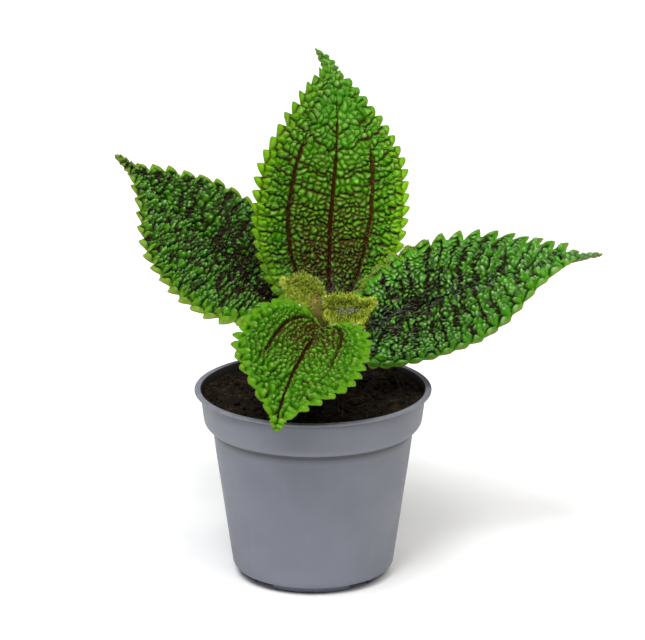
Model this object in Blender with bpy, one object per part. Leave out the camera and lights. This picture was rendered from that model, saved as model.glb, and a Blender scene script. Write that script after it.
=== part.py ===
"""A potted friendship plant: a round nursery pot filled with soil, one short stem, two pairs of
quilted, toothed leaves and a small folded pair at the shoot's end.

Lengths are in metres and +Z is up. The part stands on its foot ring, with its origin at the
bottom centre of its own box. Each piece is modelled round the pot's axis, with its height
measured from the surface that the pot stands on.
"""

import math
import random

import bmesh
import bpy
from mathutils import Matrix, Vector

# Where the pot's axis stands from the middle of the whole plant
POT_AXIS = Vector((-0.0154, 0.0069, 0.0))

# Space left between pieces that touch
CLEARANCE = 0.0003

# Pot
POT_SIDES = 48
POT_HEIGHT = 0.0733
LIP_RADIUS = 0.0450
LIP_INNER_RADIUS = 0.0424
LIP_THICKNESS = 0.0010
LIP_ROUNDING = 0.0003
BAND_TOP_RADIUS = 0.0428
BAND_FOOT_RADIUS = 0.0412
BAND_FOOT_HEIGHT = 0.0585
SHOULDER_RADIUS = 0.0378
SHOULDER_HEIGHT = 0.0541
SHOULDER_STEPS = 3
BODY_FOOT_RADIUS = 0.0309
BODY_FOOT_HEIGHT = 0.0060
BODY_FOOT_ROUNDING = 0.0031
WALL = 0.0008
FLOOR_HEIGHT = 0.0020
FLOOR_THICKNESS = 0.0010
FOOT_RADIUS = 0.0260
FOOT_WIDTH = 0.0021
FOOT_SEGMENTS = 4
FOOT_GAP_WIDTH = 0.0100
FOOT_GAP_HEIGHT = 0.0023
FOOT_GAP_ANGLE = math.radians(-137.0)
FOOT_DIP_WIDTH = 0.0054
FOOT_DIP_DEPTH = 0.0005
DRAIN_RADIUS = 0.0040
DRAIN_RING_RADIUS = 0.0165
DRAIN_SIDES = 16
CREASE = 0.0006
UNDERCUT = 0.0003
UNDERCUT_DROP = 0.0010
CUT_MARGIN = 0.0010
POT_SHARP_ANGLE = math.radians(35.0)

# Soil
SOIL_TOP = 0.0692
SOIL_RINGS = 7
SOIL_SWELL = 0.0005
SOIL_CRUMB = 0.0007
SWELLS_ACROSS = 92.0
SWELLS_DEEP = 118.0
SWELLS_SLANTED = 210.0
SOIL_EDGE_DEPTH = 0.0030
SOIL_EDGE_GAP = 0.0005
STEM_HOLE_DEPTH = 0.0130
STEM_HOLE_GAP = 0.00045
STEM_HOLE_SIDES = 20

# Stem: its centre line from the buried end to the tip, with the radius at each point
STEM_SIDES = 12
STEM_SHARP_ANGLE = math.radians(60.0)
STEM_LINE = (
    (0.0006, 0.0000, SOIL_TOP - STEM_HOLE_DEPTH + CLEARANCE, 0.0034),
    (0.0006, 0.0000, 0.0740, 0.0034),
    (0.0010, -0.0002, 0.0805, 0.0032),
    (0.0013, -0.0004, 0.0845, 0.0041),
    (0.0017, -0.0006, 0.0885, 0.0032),
    (0.0021, -0.0008, 0.0945, 0.0038),
    (0.0024, -0.0010, 0.0985, 0.0030),
    (0.0026, -0.0010, 0.1030, 0.0028),
)
LOWER_JOINT = Vector((0.0013, -0.0004, 0.0845))
UPPER_JOINT = Vector((0.0021, -0.0008, 0.0945))
STEM_TIP = Vector((0.0026, -0.0010, 0.1030))

# Half of a blade's outline from the stalk to the tip, on the tips of its teeth:
# shares of its half width, then of its length
OUTLINE = (
    (0.000, 0.000),
    (0.300, -0.050),
    (0.620, -0.035),
    (0.840, 0.065),
    (0.970, 0.220),
    (1.000, 0.380),
    (0.965, 0.530),
    (0.830, 0.640),
    (0.630, 0.730),
    (0.480, 0.800),
    (0.290, 0.868),
    (0.140, 0.905),
    (0.085, 0.950),
    (0.000, 1.000),
)
OUTLINE_ASPECT = 3.2
MIDRIB_EASE = 1.3
CROSS_VEIN_ARCH = 1.5
TURN_EASE = 1.4
DRAWN_IN = 0.25
MIDRIB_STEPS = 60
STALK_SHARE = 0.15

# Blade: its thickness, the raised net on it and its teeth
BLADE_THICKNESS = 0.0009
CELL_WIDTH = 0.0046
BUMP_HEIGHT = 0.0013
BUMP_JITTER = 0.12
VEIN_DEPTH = 0.0003
TOOTH_DEPTH = 0.0027
TOOTH_SHARE = 0.34
TOOTH_LEAN = 0.80

# Stalks
STALK_SIDES = 8
STALK_STEPS = 9
KEEL_STEPS = 5
KEEL_LENGTH_SHARE = 0.34
KEEL_TIP_SHARE = 0.45
KEEL_SINK_SHARE = 0.3
KEEL_START_SHARE = 0.03

LEAVES = {
    "leaf_back": dict(
        length=0.1009, half_width=0.0308, base=(0.0069, 0.0207, 0.1037),
        heading=(52, 124), pitch=(95, 30), roll=(19, 39),
        fold=0.26, camber=0.24, lopsided=0.02, skew=-0.04, teeth=24, cells=1.0,
        joint=UPPER_JOINT, joint_radius=0.0038, stalk_radius=0.0015, stalk_rise=50,
        colour=(0.085, 0.30, 0.03), seed=11,
    ),
    "leaf_front": dict(
        length=0.0740, half_width=0.0260, base=(0.0034, -0.0144, 0.1011),
        heading=(249, 267), pitch=(-14, -13), roll=(-11, -13),
        fold=0.49, camber=0.18, lopsided=0.04, skew=0.13, teeth=22, cells=0.92,
        joint=UPPER_JOINT, joint_radius=0.0038, stalk_radius=0.0014, stalk_rise=50,
        colour=(0.10, 0.34, 0.03), seed=12,
    ),
    "leaf_left": dict(
        length=0.0860, half_width=0.0302, base=(-0.0166, 0.0311, 0.0968),
        heading=(141, 173), pitch=(31, 45), roll=(-21, -16),
        fold=0.45, camber=0.24, lopsided=0.13, skew=-0.01, teeth=23, cells=1.0,
        joint=LOWER_JOINT, joint_radius=0.0041, stalk_radius=0.0015, stalk_rise=25,
        colour=(0.035, 0.14, 0.025), seed=13,
    ),
    "leaf_right": dict(
        length=0.0925, half_width=0.0262, base=(0.0204, -0.0056, 0.0996),
        heading=(8, -6), pitch=(20, 12), roll=(81, -7),
        fold=0.37, camber=0.49, lopsided=0.17, skew=0.24, teeth=24, cells=0.95,
        joint=LOWER_JOINT, joint_radius=0.0041, stalk_radius=0.0015, stalk_rise=45,
        colour=(0.045, 0.18, 0.03), seed=14,
    ),
}

# The folded pair at the shoot's end: its stalks stand side by side on the stem's tip
YOUNG_LEAVES = {
    "young_leaf_left": dict(
        length=0.0168, half_width=0.0046, base=(0.0022, 0.0003, 0.1062),
        heading=(158, 151), pitch=(34, 7), roll=(-48, -48),
        fold=0.66, camber=0.04, lopsided=0.0, skew=0.0, teeth=8, cells=0.55,
        root=STEM_TIP + Vector((-0.0011, 0.0007, CLEARANCE)), stalk_radius=0.0006,
        colour=(0.26, 0.33, 0.04), seed=21,
    ),
    "young_leaf_right": dict(
        length=0.0230, half_width=0.0051, base=(0.0054, -0.0054, 0.1068),
        heading=(-29, -31), pitch=(-3, 43), roll=(90, 86),
        fold=0.36, camber=0.12, lopsided=0.0, skew=0.0, teeth=9, cells=0.55,
        root=STEM_TIP + Vector((0.0011, -0.0007, CLEARANCE)), stalk_radius=0.0009,
        colour=(0.28, 0.35, 0.04), seed=22,
    ),
}


def clear_scene():
    for item in list(bpy.data.objects):
        bpy.data.objects.remove(item, do_unlink=True)


def make_material(name, colour, roughness):
    material = bpy.data.materials.new(name)
    material.use_nodes = True
    shader = material.node_tree.nodes["Principled BSDF"]
    shader.inputs["Base Color"].default_value = (*colour, 1.0)
    shader.inputs["Roughness"].default_value = roughness
    shader.inputs["Metallic"].default_value = 0.0
    return material


def add_object(name, mesh, material=None, parent=None):
    item = bpy.data.objects.new(name, mesh)
    bpy.context.scene.collection.objects.link(item)
    if material is not None:
        mesh.materials.append(material)
    item.parent = parent
    return item


def mesh_from(points, faces, name):
    mesh = bpy.data.meshes.new(name)
    mesh.from_pydata([tuple(point) for point in points], [], faces)
    mesh.update()
    return mesh


def apply_modifiers(item):
    graph = bpy.context.evaluated_depsgraph_get()
    baked = bpy.data.meshes.new_from_object(item.evaluated_get(graph))
    item.modifiers.clear()
    item.data = baked


def combine(target, others, operation):
    """Joins the other solids to the target, or cuts them from it, and removes them."""
    helpers = bpy.data.collections.new(target.name + "_helpers")
    bpy.context.scene.collection.children.link(helpers)
    for item in others:
        item.parent = target.parent
        bpy.context.scene.collection.objects.unlink(item)
        helpers.objects.link(item)
    boolean = target.modifiers.new("combine", "BOOLEAN")
    boolean.operation = operation
    boolean.operand_type = "COLLECTION"
    boolean.collection = helpers
    boolean.solver = "EXACT"
    bpy.context.view_layer.update()
    apply_modifiers(target)
    for item in list(helpers.objects):
        bpy.data.objects.remove(item, do_unlink=True)
    bpy.data.collections.remove(helpers)


# Round pieces

def turned(name, profile, material, parent):
    """Turns a closed profile of (radius, height) points, outer side first, round the pot's axis."""
    count = len(profile)
    edges = [(k, (k + 1) % count) for k in range(count)]
    mesh = bpy.data.meshes.new(name)
    mesh.from_pydata([(radius, 0.0, height) for radius, height in profile], edges, [])
    item = add_object(name, mesh, material, parent)
    screw = item.modifiers.new("turn", "SCREW")
    screw.axis = "Z"
    screw.steps = POT_SIDES
    screw.render_steps = POT_SIDES
    screw.use_merge_vertices = True
    screw.merge_threshold = 0.00001
    return item


def arc(centre, radius, start, end, steps):
    """Points of a circle's arc in the profile's plane, with its angles in degrees."""
    points = []
    for k in range(steps + 1):
        angle = math.radians(start + (end - start) * k / steps)
        points.append((centre[0] + radius * math.cos(angle), centre[1] + radius * math.sin(angle)))
    return points


def pot_side():
    """The pot's outer side from the band's top down to the body's foot."""
    shoulder_drop = BAND_FOOT_HEIGHT - SHOULDER_HEIGHT
    shoulder_depth = BAND_FOOT_RADIUS - SHOULDER_RADIUS
    side = [(BAND_TOP_RADIUS, POT_HEIGHT - LIP_THICKNESS - CREASE)]
    for k in range(SHOULDER_STEPS + 1):
        angle = math.radians(90.0 * k / SHOULDER_STEPS)
        side.append((
            SHOULDER_RADIUS + shoulder_depth * math.cos(angle),
            BAND_FOOT_HEIGHT - shoulder_drop * math.sin(angle),
        ))
    side.append((SHOULDER_RADIUS - UNDERCUT, SHOULDER_HEIGHT - UNDERCUT_DROP))
    corner = (BODY_FOOT_RADIUS - BODY_FOOT_ROUNDING, BODY_FOOT_HEIGHT)
    side += arc(corner, BODY_FOOT_ROUNDING, 0, -75, 3)
    return side


def pot_inner_side(gap=0.0):
    """The pot's inner side from the floor's edge up to the lip, drawn in by a gap."""
    inner = [(radius - WALL - gap, height + WALL / 2) for radius, height in pot_side()]
    return inner[::-1]


def pot_profile():
    lip_top = POT_HEIGHT
    lip_under = POT_HEIGHT - LIP_THICKNESS
    foot_inner = FOOT_RADIUS - FOOT_WIDTH
    bevel = LIP_ROUNDING
    profile = [
        (LIP_INNER_RADIUS + bevel, lip_top),
        (LIP_RADIUS - bevel, lip_top),
        (LIP_RADIUS, lip_top - bevel),
        (LIP_RADIUS, lip_under + bevel),
        (LIP_RADIUS - bevel, lip_under),
        (BAND_TOP_RADIUS + bevel, lip_under),
    ]
    profile += pot_side()
    profile += [
        (FOOT_RADIUS, BODY_FOOT_HEIGHT - BODY_FOOT_ROUNDING),
        (FOOT_RADIUS, bevel),
        (FOOT_RADIUS - bevel, 0.0),
        (foot_inner + bevel, 0.0),
        (foot_inner, bevel),
        (foot_inner - bevel, FLOOR_HEIGHT),
        (DRAIN_RADIUS, FLOOR_HEIGHT),
        (DRAIN_RADIUS, FLOOR_HEIGHT + FLOOR_THICKNESS),
    ]
    profile += pot_inner_side()
    profile.append((LIP_INNER_RADIUS, lip_top - bevel))
    return profile


def box_cutter(width, inner, outer, bottom, top, angle):
    """A box from one radius to another, turned about the pot's axis."""
    mesh = bpy.data.meshes.new("cutter")
    shape = bmesh.new()
    bmesh.ops.create_cube(shape, size=1.0)
    size = (outer - inner, width, top - bottom)
    bmesh.ops.scale(shape, vec=size, verts=shape.verts)
    bmesh.ops.translate(shape, vec=((inner + outer) / 2, 0, (bottom + top) / 2), verts=shape.verts)
    bmesh.ops.rotate(shape, matrix=Matrix.Rotation(angle, 3, "Z"), verts=shape.verts)
    shape.to_mesh(mesh)
    shape.free()
    return add_object("cutter", mesh)


def drain_cutter(angle):
    mesh = bpy.data.meshes.new("cutter")
    shape = bmesh.new()
    bmesh.ops.create_cone(
        shape, cap_ends=True, segments=DRAIN_SIDES, radius1=DRAIN_RADIUS, radius2=DRAIN_RADIUS,
        depth=2 * (FLOOR_THICKNESS + CUT_MARGIN),
    )
    centre = (DRAIN_RING_RADIUS * math.cos(angle), DRAIN_RING_RADIUS * math.sin(angle), FLOOR_HEIGHT)
    bmesh.ops.translate(shape, vec=centre, verts=shape.verts)
    shape.to_mesh(mesh)
    shape.free()
    return add_object("cutter", mesh)


def build_pot(parent):
    material = make_material("pot_plastic", (0.21, 0.225, 0.27), 0.5)
    pot = turned("pot", pot_profile(), material, parent)
    apply_modifiers(pot)
    inner = FOOT_RADIUS - FOOT_WIDTH - CUT_MARGIN
    outer = FOOT_RADIUS + CUT_MARGIN
    cutters = []
    for k in range(FOOT_SEGMENTS):
        gap_angle = FOOT_GAP_ANGLE + 2 * math.pi * k / FOOT_SEGMENTS
        dip_angle = gap_angle + math.pi / FOOT_SEGMENTS
        cutters.append(box_cutter(FOOT_GAP_WIDTH, inner, outer, -CUT_MARGIN, FOOT_GAP_HEIGHT, gap_angle))
        cutters.append(box_cutter(FOOT_DIP_WIDTH, inner, outer, -CUT_MARGIN, FOOT_DIP_DEPTH, dip_angle))
        cutters.append(drain_cutter(gap_angle))
    combine(pot, cutters, "DIFFERENCE")
    pot.data.shade_smooth()
    pot.data.set_sharp_from_angle(angle=POT_SHARP_ANGLE)
    return pot


def soil_height(x, y, noise):
    """The lumpy surface: slow swells, with a crumb's height of seeded noise."""
    swell = math.sin(SWELLS_ACROSS * x) * math.cos(SWELLS_DEEP * y)
    swell += 0.5 * math.sin(SWELLS_SLANTED * (x + y))
    return SOIL_TOP + SOIL_SWELL * swell + SOIL_CRUMB * noise


def soil_edge_radius():
    """The pot's inner radius at the soil's surface, less the gap left there."""
    share = (SOIL_TOP - BAND_FOOT_HEIGHT) / (POT_HEIGHT - BAND_FOOT_HEIGHT)
    outer = BAND_FOOT_RADIUS + share * (BAND_TOP_RADIUS - BAND_FOOT_RADIUS)
    return outer - WALL - SOIL_EDGE_GAP


def ring_points(radius, heights):
    """A ring of points about the pot's axis, one for each height."""
    points = []
    for k, height in enumerate(heights):
        angle = 2 * math.pi * k / len(heights)
        points.append((radius * math.cos(angle), radius * math.sin(angle), height))
    return points


def build_soil(parent):
    material = make_material("soil", (0.018, 0.012, 0.008), 0.95)
    floor = FLOOR_HEIGHT + FLOOR_THICKNESS + CLEARANCE
    edge = soil_edge_radius()
    draw = random.Random(5)
    points = []
    for radius, height in pot_inner_side(CLEARANCE):
        if height < SOIL_TOP - SOIL_EDGE_DEPTH:
            points += ring_points(radius, [max(height, floor)] * POT_SIDES)
    for ring in range(SOIL_RINGS):
        share = 1 - ring / SOIL_RINGS
        flat = ring_points(edge * share, [SOIL_TOP] * POT_SIDES)
        points += [(x, y, soil_height(x, y, share * draw.uniform(-1, 1))) for x, y, _ in flat]
    faces = [list(range(POT_SIDES))[::-1]]
    last = len(points) - POT_SIDES
    for low in range(0, last, POT_SIDES):
        for k in range(POT_SIDES):
            after = (k + 1) % POT_SIDES
            high = low + POT_SIDES
            faces.append((low + k, low + after, high + after, high + k))
    points.append((0.0, 0.0, SOIL_TOP))
    for k in range(POT_SIDES):
        faces.append((last + k, last + (k + 1) % POT_SIDES, len(points) - 1))
    soil = add_object("soil", mesh_from(points, faces, "soil"), material, parent)
    combine(soil, [stem_hole()], "DIFFERENCE")
    return soil


def stem_hole():
    """The plain round hole that the stem stands in."""
    x, y, bottom, radius = STEM_LINE[0]
    depth = 2 * STEM_HOLE_DEPTH
    mesh = bpy.data.meshes.new("cutter")
    shape = bmesh.new()
    bmesh.ops.create_cone(
        shape, cap_ends=True, segments=STEM_HOLE_SIDES, radius1=radius + STEM_HOLE_GAP,
        radius2=radius + STEM_HOLE_GAP, depth=depth,
    )
    bmesh.ops.translate(shape, vec=(x, y, bottom - CLEARANCE + depth / 2), verts=shape.verts)
    shape.to_mesh(mesh)
    shape.free()
    return add_object("cutter", mesh)


# Tubes

def tube_mesh(line, radii, sides, name):
    """A closed tube of rings along a line of points, with flat ends."""
    points = []
    faces = []
    across = None
    for k, centre in enumerate(line):
        before = line[max(k - 1, 0)]
        after = line[min(k + 1, len(line) - 1)]
        along = (after - before).normalized()
        if across is None:
            across = along.orthogonal().normalized()
        across = (across - along * across.dot(along)).normalized()
        side = along.cross(across)
        for turn in range(sides):
            angle = 2 * math.pi * turn / sides
            points.append(centre + radii[k] * (math.cos(angle) * across + math.sin(angle) * side))
    for k in range(len(line) - 1):
        for turn in range(sides):
            after = (turn + 1) % sides
            low, high = k * sides, (k + 1) * sides
            faces.append((low + turn, low + after, high + after, high + turn))
    faces.append(list(range(sides))[::-1])
    last = (len(line) - 1) * sides
    faces.append(list(range(last, last + sides)))
    return mesh_from(points, faces, name)


def build_stem(parent):
    material = make_material("stem", (0.12, 0.10, 0.03), 0.7)
    line = [Vector(point[:3]) for point in STEM_LINE]
    radii = [point[3] for point in STEM_LINE]
    stem = add_object("stem", tube_mesh(line, radii, STEM_SIDES, "stem"), material, parent)
    stem.data.shade_smooth()
    stem.data.set_sharp_from_angle(angle=STEM_SHARP_ANGLE)
    return stem


# Blades

def outline_knots():
    """The outline's points, each with its share of the way along the margin."""
    distances = [0.0]
    for (x0, y0), (x1, y1) in zip(OUTLINE, OUTLINE[1:]):
        distances.append(distances[-1] + math.hypot(x1 - x0, OUTLINE_ASPECT * (y1 - y0)))
    return [distance / distances[-1] for distance in distances]


def slopes(knots, values):
    """The curve's slope at each knot, weighted by the spans on both sides."""
    last = len(knots) - 1
    found = []
    for k in range(last + 1):
        low, high = max(k - 1, 0), min(k + 1, last)
        if 0 < k < last:
            before, after = knots[k] - knots[low], knots[high] - knots[k]
            rise_before = (values[k] - values[low]) / before
            rise_after = (values[high] - values[k]) / after
            found.append((rise_before * after + rise_after * before) / (before + after))
        else:
            found.append((values[high] - values[low]) / (knots[high] - knots[low]))
    return found


def smooth_between(knots, values, gradients, at):
    """A cubic curve through the values, read at one place."""
    k = 0
    while k < len(knots) - 2 and at > knots[k + 1]:
        k += 1
    span = knots[k + 1] - knots[k]
    t = (at - knots[k]) / span
    return (
        (2 * t**3 - 3 * t**2 + 1) * values[k]
        + (t**3 - 2 * t**2 + t) * span * gradients[k]
        + (3 * t**2 - 2 * t**3) * values[k + 1]
        + (t**3 - t**2) * span * gradients[k + 1]
    )


KNOTS = outline_knots()
ACROSS = [point[0] for point in OUTLINE]
ALONG = [point[1] for point in OUTLINE]
ACROSS_SLOPES = slopes(KNOTS, ACROSS)
ALONG_SLOPES = slopes(KNOTS, ALONG)


def half_width_at(leaf, u):
    return leaf["half_width"] * max(smooth_between(KNOTS, ACROSS, ACROSS_SLOPES, u), 0.0)


def flat_point(leaf, u, v):
    """A point of the flattened blade: u runs from stalk to tip, v from the midrib to a margin."""
    side = math.copysign(1.0, v)
    midrib = u**MIDRIB_EASE
    margin = smooth_between(KNOTS, ALONG, ALONG_SLOPES, u)
    across = half_width_at(leaf, u) * v * (1 + leaf["lopsided"] * side)
    along = leaf["length"] * (midrib + (margin - midrib) * abs(v) ** CROSS_VEIN_ARCH)
    return across, along + leaf["skew"] * across


def direction(heading, pitch):
    return Vector((
        math.cos(pitch) * math.cos(heading),
        math.cos(pitch) * math.sin(heading),
        math.sin(pitch),
    ))


def midrib_frames(leaf):
    """Places along the midrib: share of the length, point, across direction and upper side."""
    places = []
    for k in range(MIDRIB_STEPS + 1):
        share = -STALK_SHARE + (1 + STALK_SHARE) * k / MIDRIB_STEPS
        ease = max(share, 0.0) ** TURN_EASE
        heading, pitch, roll = (
            math.radians(leaf[turn][0] + (leaf[turn][1] - leaf[turn][0]) * ease)
            for turn in ("heading", "pitch", "roll")
        )
        along = direction(heading, pitch)
        level = Vector((-math.sin(heading), math.cos(heading), 0.0))
        upper = along.cross(level)
        across = math.cos(roll) * level + math.sin(roll) * upper
        facing = -math.sin(roll) * level + math.cos(roll) * upper
        places.append([share, along, across, facing])
    step = leaf["length"] * (1 + STALK_SHARE) / MIDRIB_STEPS
    point = Vector((0, 0, 0))
    line = [point]
    for before, after in zip(places, places[1:]):
        point = point + (before[1] + after[1]) / 2 * step
        line.append(point)
    start = read_frames([(p[0], q, p[2], p[3]) for p, q in zip(places, line)], 0.0)[0]
    shift = Vector(leaf["base"]) - start
    return [(p[0], q + shift, p[2], p[3]) for p, q in zip(places, line)]


def read_frames(frames, share):
    """The midrib's point and directions at a share of its length."""
    step = frames[1][0] - frames[0][0]
    place = (share - frames[0][0]) / step
    k = min(max(int(place), 0), len(frames) - 2)
    t = place - k
    return [frames[k][n].lerp(frames[k + 1][n], t) for n in (1, 2, 3)]


def bent_point(leaf, frames, across, along, lift):
    """Bends a point of the flat blade into place, lifted off its smooth surface."""
    origin, sideways, facing = read_frames(frames, along / leaf["length"])
    w = across / leaf["half_width"]
    slope = leaf["fold"] - 2 * leaf["camber"] * abs(w)
    rise = leaf["half_width"] * (leaf["fold"] * abs(w) - leaf["camber"] * w * w)
    if w == 0:
        normal = facing
    else:
        normal = (facing - math.copysign(slope, w) * sideways).normalized()
    drawn_in = across * (1 - DRAWN_IN * slope * slope)
    return origin + drawn_in * sideways + rise * facing + lift * normal


def row_columns(leaf, rows):
    """How many cells each row has between the midrib and a margin, even where it is wide."""
    cell = CELL_WIDTH * leaf["cells"]
    counts = []
    for row in range(rows):
        width = half_width_at(leaf, (row + 0.5) / rows)
        count = width / cell
        counts.append(max(1, 2 * round(count / 2) if count > 1.6 else round(count)))
    return counts


def line_columns(counts, line):
    """How many spans the line between two rows has: none at the stalk and at the tip."""
    if line == 0 or line == len(counts):
        return 0
    return min(counts[line - 1], counts[line])


def build_blade(leaf, name):
    """One blade: rows of raised cells between sunken veins, and a tooth on each row's end."""
    rows = leaf["teeth"]
    counts = row_columns(leaf, rows)
    frames = midrib_frames(leaf)
    draw = random.Random(leaf["seed"])
    flat = []

    def add(u, v, lift, jitter=0.0):
        across, along = flat_point(leaf, u, v)
        across += draw.uniform(-jitter, jitter)
        along += draw.uniform(-jitter, jitter)
        flat.append((across, along, lift))
        return len(flat) - 1

    def inset_share(u):
        width = half_width_at(leaf, u)
        depth = min(TOOTH_DEPTH * leaf["cells"], TOOTH_SHARE * width)
        return depth / max(width, 1e-6)

    stalk_end = add(0.0, 0.0, -VEIN_DEPTH)
    tip_end = add(1.0, 0.0, -VEIN_DEPTH)
    midrib = [stalk_end]
    midrib += [add(line / rows, 0.0, -VEIN_DEPTH) for line in range(1, rows)]
    midrib.append(tip_end)
    triangles = []
    for side in (1, -1):
        lines = []
        for line in range(rows + 1):
            spans = line_columns(counts, line)
            if spans == 0:
                lines.append([midrib[line]])
                continue
            u = line / rows
            cell = half_width_at(leaf, u) / spans
            edge = 1 - inset_share(u)
            points = [midrib[line]]
            for k in range(1, spans + 1):
                vein = -VEIN_DEPTH if 2 * k == spans else 0.0
                jitter = 0.0 if k == spans or 2 * k == spans else BUMP_JITTER * cell
                points.append(add(u, side * edge * k / spans, vein, jitter))
            lines.append(points)
        for row, count in enumerate(counts):
            low, high = lines[row], lines[row + 1]
            middle = (row + 0.5) / rows
            cell = half_width_at(leaf, middle) / count
            edge = 1 - 0.5 * inset_share(middle)
            height = BUMP_HEIGHT * min(1.0, cell / CELL_WIDTH)
            for k in range(count):
                start = [round(n * (len(line) - 1) / count) for line in (low, high) for n in (k, k + 1)]
                loop = low[start[0]:start[1] + 1]
                if k == count - 1:
                    loop = loop + [add((row + TOOTH_LEAN) / rows, side, 0.0)]
                loop = loop + high[start[2]:start[3] + 1][::-1]
                loop = [point for n, point in enumerate(loop) if point != loop[n - 1]]
                peak = add(middle, side * edge * (k + 0.5) / count, height, BUMP_JITTER * cell)
                for n in range(len(loop)):
                    corners = (peak, loop[n], loop[(n + 1) % len(loop)])
                    triangles.append(corners if side > 0 else corners[::-1])
    return blade_solid(leaf, frames, flat, triangles, name)


def blade_solid(leaf, frames, flat, triangles, name):
    """Gives the blade's upper surface its thickness, with the same triangles on both faces."""
    upper = [bent_point(leaf, frames, x, y, lift) for x, y, lift in flat]
    lower = [bent_point(leaf, frames, x, y, lift - BLADE_THICKNESS) for x, y, lift in flat]
    count = len(upper)
    faces = [tuple(triangle) for triangle in triangles]
    faces += [tuple(corner + count for corner in triangle[::-1]) for triangle in triangles]
    used = set()
    for triangle in triangles:
        for n in range(3):
            used.add((triangle[n], triangle[(n + 1) % 3]))
    for start, end in sorted(used):
        if (end, start) not in used:
            faces.append((end, start, start + count))
            faces.append((end, start + count, end + count))
    return mesh_from(upper + lower, faces, name)


def bezier(start, start_pull, end_pull, end, steps):
    points = []
    for k in range(steps + 1):
        t = k / steps
        points.append(
            (1 - t)**3 * start + 3 * (1 - t)**2 * t * start_pull
            + 3 * (1 - t) * t**2 * end_pull + t**3 * end
        )
    return points


def stalk_root(leaf):
    """Where the stalk leaves the stem, just clear of its side, and its direction there."""
    if "root" in leaf:
        return leaf["root"], Vector((0, 0, 1))
    aim = Vector(leaf["base"]) - leaf["joint"]
    rise = math.radians(leaf["stalk_rise"])
    heading = math.atan2(aim.y, aim.x)
    pull = direction(heading, rise)
    reach = leaf["joint_radius"] + CLEARANCE + leaf["stalk_radius"] * math.sin(rise)
    root = leaf["joint"] + reach * Vector((math.cos(heading), math.sin(heading), 0))
    return root, pull


def build_stalk(leaf, name):
    """The round stalk, carried on under the blade as the midrib's keel."""
    frames = midrib_frames(leaf)
    root, pull = stalk_root(leaf)
    radius = leaf["stalk_radius"]
    depth = VEIN_DEPTH + BLADE_THICKNESS + KEEL_SINK_SHARE * radius
    start = bent_point(leaf, frames, 0.0, 0.0, -depth)
    ahead = bent_point(leaf, frames, 0.0, KEEL_START_SHARE * leaf["length"], -depth)
    along = (ahead - start).normalized()
    reach = (start - root).length / 3
    line = bezier(root, root + pull * reach, start - along * reach, start, STALK_STEPS)
    radii = [radius] * len(line)
    for k in range(1, KEEL_STEPS + 1):
        share = k / KEEL_STEPS
        along = share * KEEL_LENGTH_SHARE * leaf["length"]
        line.append(bent_point(leaf, frames, 0.0, along, -depth))
        radii.append(radius * (1 - (1 - KEEL_TIP_SHARE) * share))
    return tube_mesh(line, radii, STALK_SIDES, name)


def build_leaf(name, leaf, parent):
    material = make_material(name, leaf["colour"], 0.45)
    blade = add_object(name, build_blade(leaf, name), material, parent)
    stalk = add_object(name + "_stalk", build_stalk(leaf, name + "_stalk"), material)
    combine(blade, [stalk], "UNION")
    return blade


def main():
    clear_scene()
    plant = bpy.data.objects.new("potted_friendship_plant", None)
    bpy.context.scene.collection.objects.link(plant)
    plant.location = POT_AXIS
    build_pot(plant)
    build_soil(plant)
    build_stem(plant)
    for name, leaf in {**LEAVES, **YOUNG_LEAVES}.items():
        build_leaf(name, leaf, plant)


main()
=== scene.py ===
import math

import bpy
import numpy as np
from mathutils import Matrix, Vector


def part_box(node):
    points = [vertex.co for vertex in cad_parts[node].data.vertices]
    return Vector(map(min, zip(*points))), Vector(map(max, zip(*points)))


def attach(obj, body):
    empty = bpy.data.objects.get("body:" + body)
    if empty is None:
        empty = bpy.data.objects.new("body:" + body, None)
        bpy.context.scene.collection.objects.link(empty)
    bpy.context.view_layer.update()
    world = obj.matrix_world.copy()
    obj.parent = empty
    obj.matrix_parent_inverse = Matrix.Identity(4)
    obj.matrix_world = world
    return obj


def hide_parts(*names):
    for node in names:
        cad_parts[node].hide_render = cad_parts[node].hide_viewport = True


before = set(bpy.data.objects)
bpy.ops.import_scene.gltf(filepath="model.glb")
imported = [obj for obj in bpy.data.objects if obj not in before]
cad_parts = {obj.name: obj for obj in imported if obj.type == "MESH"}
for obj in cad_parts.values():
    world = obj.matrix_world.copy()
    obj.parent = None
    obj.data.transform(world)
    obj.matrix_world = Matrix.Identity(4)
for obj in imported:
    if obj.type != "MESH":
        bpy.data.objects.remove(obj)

scene = bpy.context.scene
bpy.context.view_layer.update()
potLow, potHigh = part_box("pot")
potAxis = np.array([(potLow.x + potHigh.x) / 2, (potLow.y + potHigh.y) / 2, potLow.z])
mm = 0.001
print("frame loaded, pot axis at", potAxis.round(4).tolist())


# Small helpers for objects and node trees

def deselectAll():
    bpy.ops.object.select_all(action="DESELECT")


def makeActive(piece):
    deselectAll()
    piece.select_set(True)
    bpy.context.view_layer.objects.active = piece


def addPrimitive(operator, **values):
    deselectAll()
    operator(**values)
    return bpy.context.object


def settle(piece):
    makeActive(piece)
    bpy.ops.object.transform_apply(location=True, rotation=True, scale=True)


def meshPiece(name, points, faces, material, smooth=True):
    # the points are given from the foot of the pot's axis
    mesh = bpy.data.meshes.new(name)
    mesh.from_pydata((np.asarray(points) + potAxis).tolist(), [], faces)
    mesh.polygons.foreach_set("use_smooth", [smooth] * len(mesh.polygons))
    mesh.materials.append(material)
    piece = bpy.data.objects.new(name, mesh)
    scene.collection.objects.link(piece)
    return piece


def joinInto(piece, other):
    makeActive(piece)
    other.select_set(True)
    bpy.ops.object.join()


def setAttribute(piece, name, values):
    attribute = piece.data.attributes.new(name, "FLOAT", "POINT")
    attribute.data.foreach_set("value", np.asarray(values, dtype=np.float32))


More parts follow.
